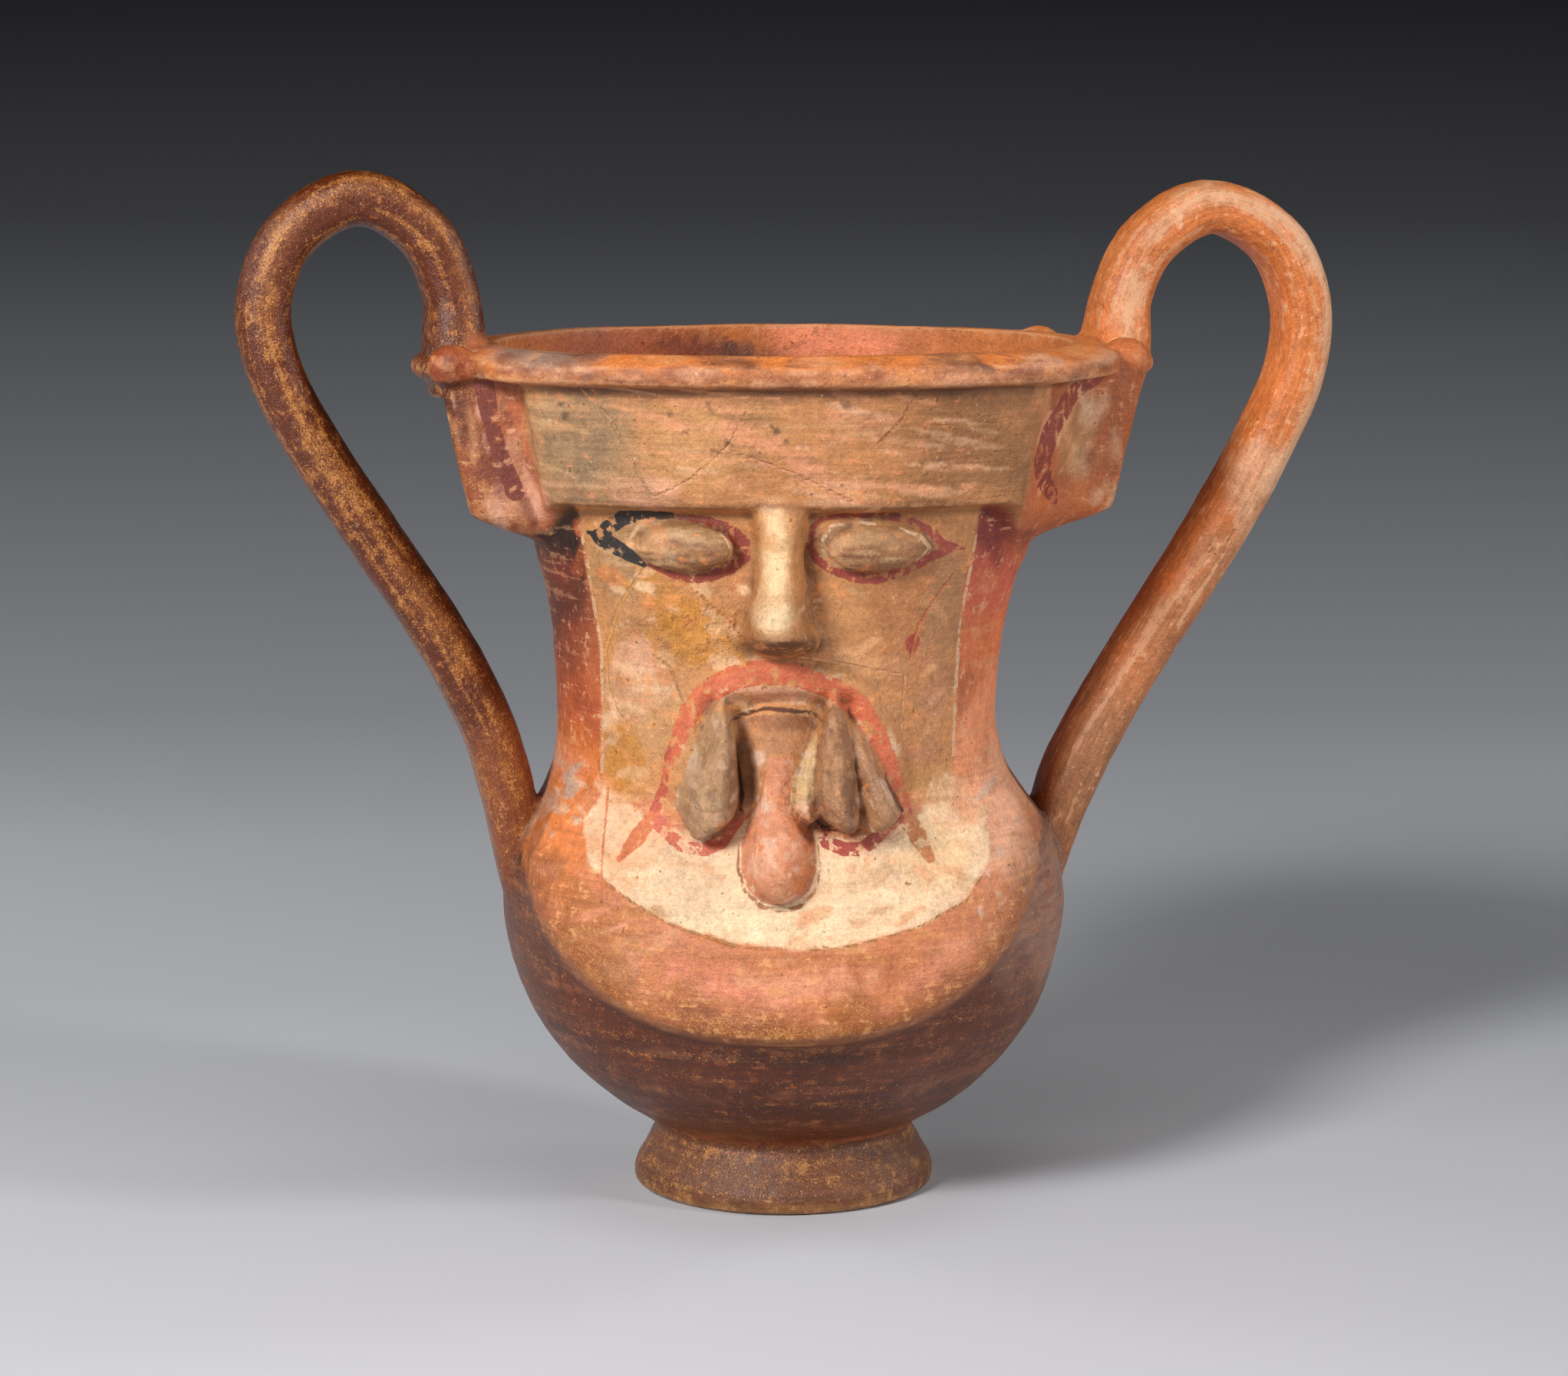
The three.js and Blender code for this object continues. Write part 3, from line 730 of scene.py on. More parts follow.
@dataclass
class Feature:
    """A raised part of the face, stacked of half-round rings: (height, middle, half width, front depth)."""

    name: str
    rings: Sequence[tuple[float, float, float, float]]
    root: float = 48.0
    ridge: float = 0.8
    lean: float = 0.0
    back: float = 0.12
    corners: int = 40
    step: float = 1.2

    def build(self) -> Piece:
        """Lofts the rings from the lowest to the highest."""
        table = np.array(sorted(self.rings), float)
        middle, width, depth = (Curve(list(zip(table[:, 0], table[:, k]))) for k in (1, 2, 3))
        low, high = table[0, 0], table[-1, 0]
        heights = np.linspace(low, high, max(int((high - low) / self.step), 4) + 1)
        piece = Bench.ring(self.name, self.corners, 1.0, (0, 0, 0))
        bpy.ops.object.mode_set(mode="OBJECT")
        section = Bench.points(piece)
        turn = np.arctan2(section[:, 0], -section[:, 1])
        ahead = np.cos(turn)
        section[:, 0] += self.lean * np.maximum(ahead, 0.0) ** 2
        section[:, 1] = np.where(ahead > 0, -np.abs(ahead) ** self.ridge, -self.back * ahead)
        section *= (float(width(low)), float(depth(low)) - self.root, 1.0)
        Bench.place(piece, section + (float(middle(low)), -self.root, low))
        Bench.open()
        for before, after in zip(heights[:-1], heights[1:]):
            step = (float(middle(after) - middle(before)), 0, after - before)
            centre = (float(middle(after)), -self.root, after)
            wider = float(width(after) / width(before))
            deeper = float((depth(after) - self.root) / (depth(before) - self.root))
            Bench.grow(step, centre, (wider, deeper, 1))
        Bench.close_ends()
        return piece


WALL = Wall()
LEFT_HANDLE = Handle(
    "left_handle",
    (
        (79, 199.5), (80.8, 210.5), (81.8, 223.5), (88, 237.5), (103.4, 246), (119.6, 237.5), (126.6, 220.5),
        (124, 204.5), (115, 186.5), (100.3, 163.5), (85.4, 140.5), (73.8, 117.5), (68.6, 98.5), (66.5, 80.5),
        (63, 62.5),
    ),
    math.radians(190),
)
RIGHT_HANDLE = Handle(
    "right_handle",
    (
        (80, 198.5), (83.4, 209.5), (85, 221.5), (91.6, 234.4), (107, 243), (124, 234.6), (131.2, 218.5),
        (130.2, 203.5), (122.3, 184.5), (110, 162.5), (95.5, 140), (81, 116.5), (71.5, 97.5), (67, 80.5),
        (63.5, 62.5),
    ),
    math.radians(10),
)
SADDLE_REACH = 79.5
SADDLES = tuple(
    Bead(name, (SADDLE_REACH * math.cos(turn), SADDLE_REACH * math.sin(turn), 205.5), (12, 27, 5), turn)
    for name, turn in (("left_saddle", LEFT_HANDLE.turn), ("right_saddle", RIGHT_HANDLE.turn))
)
KNOBS = tuple(
    Bead(name, (x, y, 206.9), (6.2, 6, 5.2), math.atan2(y, x))
    for name, x, y in (
        ("left_front_knob", -78.6, -35.4), ("left_back_knob", -79, 18.5), ("right_front_knob", 82.8, -8),
        ("right_back_knob", 65, 43),
    )
)
EYES = (
    Bead("left_eye", (-23.4, -55, 166.0), (12.6, 4.4, 5.9), -0.36),
    Bead("right_eye", (22, -55, 166.0), (12.6, 4.4, 5.9), 0.36),
)
NOSE = Feature(
    "nose",
    (
        (184, -0.8, 3, 57), (179, -0.8, 6.4, 60.6), (175.5, -0.8, 7.8, 62.8), (171, -0.8, 6.8, 64.6),
        (165.5, -0.8, 5.9, 66.4), (157.5, -0.9, 6.3, 70.2), (152, -1.6, 6.8, 74.6), (149, -1.4, 7.6, 75),
        (146.5, -0.8, 8.9, 73.4), (144, -0.2, 9.3, 70), (141.5, 0, 8, 63.5), (139.5, 0, 5, 56.5),
    ),
    ridge=0.72,
)
LEFT_TUSK = Feature(
    "left_tusk",
    (
        (130.6, -15.3, 0.8, 58.5), (128, -15.4, 2.4, 62.5), (121, -15.9, 4.6, 66), (113.5, -16.8, 6.1, 68.8),
        (107.7, -17.7, 7.4, 70.2), (104, -17.9, 6.8, 70.4), (100.5, -18.8, 4.2, 69), (98, -21, 1, 65),
    ),
    ridge=0.95, lean=0.35,
)
RIGHT_TUSK = Feature(
    "right_tusk",
    (
        (130.6, 11.7, 1, 58.5), (128, 11.7, 2.6, 63), (121, 11.7, 4.6, 67.5), (114, 12, 5.7, 70.8),
        (108, 12.7, 6.3, 72.2), (103.5, 13.6, 6, 71.4), (100.2, 15.2, 2.4, 67.5),
    ),
    ridge=0.9,
)
TUSK_FOLD = Feature(
    "tusk_fold",
    (
        (124.5, 15.4, 0.8, 57), (119, 17.6, 2.4, 62), (113.5, 19.6, 3.6, 65), (108, 21.2, 4.6, 67),
        (103.2, 22.3, 5.4, 67.8), (99.8, 20.3, 2.4, 64),
    ),
    ridge=0.75, lean=0.2,
)
TUSK_CONE = Feature(
    "tusk_cone",
    (
        (122.5, 7.8, 0.8, 57), (117.5, 6.6, 2, 61.5), (112.5, 5.4, 3, 65), (108, 5, 3.4, 67.6),
        (104, 5.8, 2.4, 69), (102.2, 6.4, 0.8, 66),
    ),
)
TONGUE = Feature(
    "tongue",
    (
        (128, -0.8, 8.6, 55.2), (122, -0.8, 8.8, 57.4), (114, -0.7, 6.8, 62), (106, -0.8, 6.2, 67.4),
        (101, -1.1, 7.5, 71.4), (96, -1.3, 8.5, 74.2), (91, -1.3, 8.5, 75.4), (87, -1.2, 7, 74.6),
        (84, -1, 2.6, 71),
    ),
    ridge=0.75,
)


WASH_REACH = 3.0


def pigment(code: str) -> Array:
    """Linear red, green and blue of a paint given as a screen colour such as c8703c."""
    values = np.array([int(code[i : i + 2], 16) for i in (0, 2, 4)]) / 255.0
    return np.where(values <= 0.04045, values / 12.92, ((values + 0.055) / 1.055) ** 2.4)


def opaque(code: str) -> tuple[float, ...]:
    """The same paint as a node's colour."""
    return (*pigment(code), 1)


class Zone(Enum):
    """Which of the cup's surfaces a wash stays on."""

    ALL = "all"
    INSIDE = "inside"
    FACE = "face"
    NECK = "neck"
    BLOCK = "block"
    FOREHEAD = "forehead"
    LIP = "lip"
    BEARD = "beard"
    CREAM = "cream"
    BOWL = "bowl"
    FOOT = "foot"
    LEFT_HANDLE = "left_handle"
    RIGHT_HANDLE = "right_handle"


@dataclass(frozen=True)
class Wash:
    """A soft-edged area of colour: its middle (x, z), half sizes, colour and the surface it stays on."""

    zone: Zone
    colour: str
    x: float
    z: float
    half_x: float
    half_z: float
    strength: float = 0.8
    tilt: float = 0.0
    ragged: float = 0.35
    soft: float = 0.5
    y: float = 0.0
    half_y: float = NEVER

    def share(self, points: Array, noise: Array) -> Array:
        """How strongly the wash covers each point.

        Args:
            points: Points of the cup, one a row.
            noise: What makes the edge ragged, one value a point.

        Returns:
            Shares from 0 to the wash's strength.
        """
        turn = math.radians(self.tilt)
        dx, dz = points[:, 0] - self.x, points[:, 2] - self.z
        across = (dx * math.cos(turn) + dz * math.sin(turn)) / self.half_x
        up = (-dx * math.sin(turn) + dz * math.cos(turn)) / self.half_z
        deep = (points[:, 1] - self.y) / self.half_y
        share = np.zeros(len(points))
        near = np.flatnonzero(across**2 + up**2 + deep**2 < WASH_REACH**2)
        distance = np.sqrt(across[near] ** 2 + up[near] ** 2 + deep[near] ** 2) + self.ragged * noise[near]
        share[near] = self.strength * smooth(1.0 + self.soft, 1.0 - self.soft, distance)
        return share


def along_line(
    x: Array, z: Array, start: Sequence[float], end: Sequence[float]
) -> tuple[Array, Array, Array]:
    """Where points lie beside a straight line.

    Args:
        x: Places of the points across the front view.
        z: Their heights.
        start: The line's start, (x, z) and whatever follows.
        end: Its end, the same way.

    Returns:
        Share of the line at each point's nearest place, and the point's offset from it along x and z.
    """
    dx, dz = end[0] - start[0], end[1] - start[1]
    t = np.clip(((x - start[0]) * dx + (z - start[1]) * dz) / max(dx * dx + dz * dz, 1e-9), 0.0, 1.0)
    return t, x - start[0] - dx * t, z - start[1] - dz * t


@dataclass(frozen=True)
class Stroke:
    """A brush stroke in the front view: points (x, z, width) and its colour."""

    colour: str
    path: Sequence[tuple[float, float, float]]

    def distance(self, x: Array, z: Array) -> Array:
        """Distance outside the stroke's edge, in millimetres, negative within it."""
        best = np.full(x.shape, NEVER)
        for start, end in zip(self.path[:-1], self.path[1:]):
            share, off_x, off_z = along_line(x, z, start, end)
            best = np.minimum(best, np.hypot(off_x, off_z) - lerp(start[2], end[2], share) / 2)
        return best


@dataclass(frozen=True)
class Patch:
    """A patch with a clear edge in the front view, as a closed outline of (x, z) points, and its colour."""

    colour: str
    outline: Sequence[tuple[float, float]]

    def distance(self, x: Array, z: Array) -> Array:
        """Distance outside the patch's edge, in millimetres, negative within it."""
        best = np.full(x.shape, NEVER)
        inside = np.zeros(x.shape, bool)
        for start, end in zip(self.outline, [*self.outline[1:], self.outline[0]]):
            _, off_x, off_z = along_line(x, z, start, end)
            best = np.minimum(best, off_x**2 + off_z**2)
            if end[1] != start[1]:
                slant = (end[0] - start[0]) * (z - start[1]) / (end[1] - start[1])
                inside ^= ((start[1] > z) != (end[1] > z)) & (x < slant + start[0])
        return np.where(inside, -1.0, 1.0) * np.sqrt(best)


EYE_STROKES = (
    Stroke("2b2422", (
        (-46.4, 168, 0.8), (-44.8, 167.6, 1.6), (-41.9, 169.1, 3.4), (-37.9, 172, 3.6), (-32.7, 173.2, 2.2),
        (-26.6, 173.3, 1.8), (-24.2, 172.9, 1),
    )),
    Stroke("2b2422", (
        (-45, 166.9, 1.2), (-43, 166.2, 3), (-40.1, 165.3, 4), (-36.4, 163.4, 3), (-32.8, 161.2, 1.2),
    )),
    Stroke("93402f", (
        (-25, 173, 1.4), (-18.2, 172.3, 1.8), (-13.5, 170.6, 2.6), (-10, 167.3, 4), (-9.6, 164.3, 3.8),
        (-12.3, 161.2, 2.8), (-17.1, 159, 2.2), (-21.9, 158.3, 2), (-26.7, 159.4, 1.6), (-31.5, 161.2, 0.9),
    )),
    Stroke("9a4534", (
        (5.9, 166.7, 1.4), (6.8, 170.9, 1.2), (9.2, 173, 1.2), (15.1, 173.7, 1.4), (22.3, 173.6, 1.8),
        (28.9, 172.3, 2), (33.8, 169.6, 1.8), (37.5, 165.9, 2), (42.3, 164.5, 0.8),
    )),
    Stroke("9a4534", (
        (5.9, 166.7, 1.6), (7.4, 163.4, 2), (11, 160.6, 1.7), (15.8, 159, 2.4), (21.2, 158.6, 3),
        (27.2, 159.9, 2.8), (32.7, 162.1, 2.2), (36.9, 163.9, 2.2), (40.5, 164.9, 1),
    )),
    Stroke("a04c36", ((35.6, 169, 1), (37.4, 165, 1.6))),
)
LIP_STROKES = (
    Stroke("cc6843", (
        (-27.8, 112, 2), (-25.6, 118.6, 3.2), (-22.6, 126, 4.6), (-18.4, 131.6, 5.2), (-12.3, 135.4, 5.4),
        (-5.1, 137, 5.6), (0.8, 136.6, 5.6), (6.8, 134.8, 5), (12.8, 132.4, 5.2), (17.5, 128.3, 5.6),
        (21.3, 122.4, 4.8), (23.9, 117.6, 4), (25.9, 112, 3.2), (28.8, 103.7, 2.6),
    )),
    Stroke("b8563f", ((-24.4, 124.6, 1.6), (-26.9, 116.6, 2), (-28.1, 109.4, 2), (-31.2, 100.9, 2.4))),
    Stroke("cc6a4e", (
        (-31, 101.4, 3), (-29.9, 100.8, 3.6), (-26.8, 97.7, 3), (-23.8, 95.7, 2.6), (-18.9, 95.2, 2.8),
        (-14.7, 97.3, 3.4), (-12, 100.8, 2.8), (-10, 102, 1.4),
    )),
    Stroke("a84a3c", (
        (8, 100.4, 1.6), (9.8, 97.3, 2.8), (14, 95.6, 3), (18.2, 95.4, 3), (21.3, 97.2, 3),
        (24.3, 100.1, 2.8), (29.2, 102.2, 2.8),
    )),
    Stroke("cf7347", ((-30.6, 102.2, 2.6), (-34.8, 96.4, 3.6), (-39.1, 91.5, 1.4))),
    Stroke("cf8450", ((28.6, 103, 2.8), (31.6, 97.2, 4.2), (34.8, 91.6, 1.8))),
)
EYE_RIMS = (
    Stroke("d0a078", (
        (-48.6, 171, 0.5), (-47, 162, 1), (-45.4, 152, 0.6), (-43.4, 140, 0.9), (-43.2, 124, 0.5),
        (-43.5, 110, 0.9),
    )),
    Stroke("d8a984", (
        (45.6, 168, 0.3), (43.6, 156, 0.8), (41.8, 146, 0.5), (41, 130, 0.9), (40.4, 114, 0.5),
    )),
    Stroke("cfa57c", ((-36.4, 167, 0.6), (-34, 170.4, 0.8), (-29, 171.4, 0.5))),
    Stroke("d9ad84", (
        (-15, 170.2, 0.4), (-12.8, 168, 0.9), (-11.8, 165.5, 1), (-13.2, 162.6, 0.7), (-17.1, 161.1, 0.3),
    )),
    Stroke("dcb894", (
        (9.6, 163.5, 0.3), (9.2, 168.2, 1), (11.2, 171, 1), (15.1, 172, 0.6), (22.9, 171.5, 0.4),
    )),
    Stroke("d4ad86", ((27, 170.6, 0.3), (32, 168.4, 0.9), (34.2, 165.4, 0.7), (31, 162.8, 0.3))),
)
NICHE_STROKES = (
    Stroke("7a3a2c", ((-71, 203, 5), (-69.4, 193, 3.6), (-66.6, 184, 4), (-64, 177, 4.4))),
    Stroke("8c3d2d", (
        (76, 203, 2.4), (69, 199.6, 4.2), (63.6, 192, 4.6), (61.2, 185, 4.4), (62, 179, 4), (65.5, 174, 3),
    )),
)
# Cracks and scratches, and dark lines of painted shade: in the mouth's gaps, round the tongue and along the
# cream's edge.
CRACKS_AND_SHADE_LINES = (
    Stroke("c98a4a", (
        (-32.8, 160.6, 0.5), (-39, 151, 0.7), (-42.3, 140.1, 0.7), (-41.7, 131.6, 0.5), (-39.2, 125.2, 0.3),
        (-34.9, 121.4, 0.4),
    )),
    Stroke("cf7f3c", ((-24.3, 158.2, 0.7), (-17.1, 152.7, 0.6), (-12, 148, 0.7), (-9.9, 144.6, 0.6))),
    Stroke("b9804f", ((-31.1, 140, 0.3), (-26.8, 137.2, 0.6), (-23.8, 129.5, 0.6))),
    Stroke("c06a40", ((40.7, 159.3, 0.4), (35.2, 152.3, 0.6), (31.6, 146.4, 0.7), (29.8, 138.6, 0.4))),
    Stroke("d99a6c", ((3.2, 140.8, 0.6), (15.2, 138.2, 0.6), (28.6, 135, 0.4), (27.5, 122, 0.4))),
    Stroke("d8703c", ((-42, 107, 0.5), (-43.2, 90, 0.5), (-43, 84, 0.4))),
    # 3a241a: dark line in the gap between the left tusk and the palate, painted shade.
    Stroke("3a241a", ((-11, 117, 0.2), (-10.3, 112, 0.6), (-9.9, 108, 1), (-10.2, 104.4, 0.6))),
    # 5e3a28: dark line under the upper lip's edge, its dark paint and painted shade in the recess under it.
    Stroke("5e3a28", (
        (-12.9, 124.9, 0.4), (-9.5, 126.2, 0.9), (-4.6, 127.9, 0.7), (0.5, 127.6, 0.9), (6.9, 126.7, 0.6),
        (9, 125, 0.3),
    )),
    # a86c46: brown line round the tongue, painted shade where it meets the mouth.
    Stroke("a86c46", (
        (-10.4, 97, 0.3), (-10.8, 92, 0.6), (-9.1, 86.6, 0.8), (-5, 83, 0.8), (-1, 82.2, 0.8),
        (3.5, 83, 0.8), (7.3, 86.5, 0.7), (8.6, 91.3, 0.6), (8, 97, 0.3),
    )),
    # 4a2a22 and 4a2c22: dark lines under the right tusk and along the fold's outer edge, painted shade in the
    #                    gaps.
    Stroke("4a2a22", ((7.4, 102.6, 0.5), (9, 100.6, 1), (12.5, 99.6, 0.5))),
    Stroke("4a2c22", ((28, 103, 0.8), (26.4, 106.6, 0.5), (23.6, 112.6, 0.3))),
    # b07a44, two strokes: brown lines along the cream's lower edge, painted shade where the raised beard
    # meets the sunk cream.
    Stroke("b07a44", (
        (-45, 88, 0.2), (-37, 83.4, 0.5), (-26.7, 78.4, 0.3), (-12, 74.4, 0.5), (0, 73, 0.2),
    )),
    Stroke("b07a44", (
        (6, 73.4, 0.2), (14, 73.8, 0.4), (30.2, 77, 0.4), (43.1, 82.2, 0.4), (48.6, 89, 0.2),
    )),
    Stroke("b98a60", ((-47, 203, 0.4), (-40, 196, 0.6), (-31, 178, 0.6))),
    Stroke("d99a6c", ((-8.2, 199, 0.4), (-13, 190, 0.7), (-22, 182, 0.7), (-30, 178, 0.6))),
    Stroke("a8623f", ((30.3, 202, 0.4), (27, 196, 0.7), (22, 191, 0.6))),
    Stroke("d98f6a", ((-12, 189, 0.5), (2, 184, 0.8), (16, 177, 0.8))),
)
PATCHES = (
    Patch("9c4733", (
        (28.4, 143), (29.4, 144.6), (31.2, 144.8), (32.2, 143), (31.2, 141), (30.2, 139.4), (28.9, 141),
    )),
    Patch("aa8058", (
        (-15.3, 130.4), (-18, 127.5), (-20.6, 121), (-23.2, 113.5), (-25.5, 107.7), (-25, 104),
        (-23.2, 100.5), (-21.6, 97.8), (-18.5, 98.6), (-14.5, 100.6), (-11.2, 102.8), (-9.8, 108),
        (-10.3, 114), (-11.2, 121.8), (-12.9, 127.6),
    )),
    Patch("9c6c48", (
        (11.7, 130.4), (9.3, 126.5), (7.9, 121), (7, 114), (6.8, 108), (8, 103.2), (11, 100.8),
        (14.5, 99.8), (17.8, 101.4), (17.3, 108), (16.4, 115), (15.4, 122), (13.9, 128),
    )),
    Patch("a3744e", (
        (15.4, 124.4), (16.6, 115), (17.5, 108), (18, 101.4), (20, 99.4), (23.5, 100), (27.6, 103),
        (25.9, 108), (23.1, 113.5), (19.8, 119),
    )),
    Patch("d3ad7c", (
        (7.7, 122.5), (4.6, 117.5), (2.2, 112.5), (1.5, 108), (3.2, 104.6), (6.5, 102.4), (7.4, 104),
        (6.6, 108), (6.8, 114), (7.7, 120),
    )),
    Patch("d08862", (
        (-3.6, 117), (2.6, 117.5), (1.4, 111), (1.4, 106.5), (4.4, 103), (6.6, 100.6), (7.6, 96), (7.6, 91),
        (6, 86.6), (2.5, 84), (-1, 83.4), (-5, 84.1), (-8.6, 86.9), (-10, 91.5), (-10, 96.5), (-8.2, 102),
        (-5.4, 107), (-4.4, 112),
    )),
    Patch("b98258", (
        (-11, 124.6), (-6, 126.4), (2, 127), (8.2, 125), (7.2, 122), (4.2, 117.6), (2.8, 117.8),
        (-4, 117.4), (-5, 112), (-6, 107), (-9.4, 102.6), (-9.4, 108), (-10, 114),
    )),
)
CREAM_EDGE = Patch("ead2ac", (
    (-43.8, 106), (-48, 98), (-48.3, 91), (-39, 84.7), (-26.7, 79), (-12, 75), (0, 73.6), (14, 74.4),
    (30.2, 77.6), (43.1, 82.8), (48, 89.6), (48, 100), (44, 107.6), (38, 110), (33, 104), (29, 101),
    (20, 97), (8, 99), (-2, 104), (-12, 99), (-24, 97), (-31, 101), (-38, 106),
))
PANEL_LEFT: Knots = ((100, -43.4), (107.3, -43.4), (135, -43.3), (153.3, -45.9), (169.8, -48.2), (176, -49))
PANEL_RIGHT: Knots = ((100, 40.2), (110.5, 40.2), (122.5, 40.8), (147.3, 42), (170, 45.8), (176, 46.4))
BROW_LEFT: Knots = ((173, -54), (180, -57.5), (190, -60), (204, -62))
BROW_RIGHT: Knots = ((173, 56), (180, 58), (190, 59.5), (204, 62))
LOWEST_STROKE = 70.0


@dataclass(frozen=True)
class Slip:
    """A surface's own colour, the colour under it, and how much of it has come off."""

    colour: str
    under: str
    worn: float


GROUND = {
    Zone.ALL: Slip("b8643a", "d39a70", 0.3),
    Zone.INSIDE: Slip("c07038", "8f4a2c", 0.4),
    Zone.LIP: Slip("c8773f", "8a4c34", 0.3),
    Zone.FACE: Slip("c2844f", "cf8248", 0.25),
    Zone.FOREHEAD: Slip("bc7e4c", "cf7c50", 0.25),
    Zone.BEARD: Slip("c4764a", "d49460", 0.4),
    Zone.CREAM: Slip("e6bf98", "d8976c", 0.35),
    Zone.BOWL: Slip("602808", "90491c", 0.3),
    Zone.FOOT: Slip("6c3e22", "92602f", 0.35),
    Zone.LEFT_HANDLE: Slip("5e2709", "9a5822", 0.35),
    Zone.RIGHT_HANDLE: Slip("cc7236", "d8a47c", 0.2),
}


def washes(zone: Zone, rows: Sequence[tuple]) -> list[Wash]:
    """Washes of one zone, each row the fields of a Wash that follow its zone, in their order."""
    return [Wash(zone, *row) for row in rows]


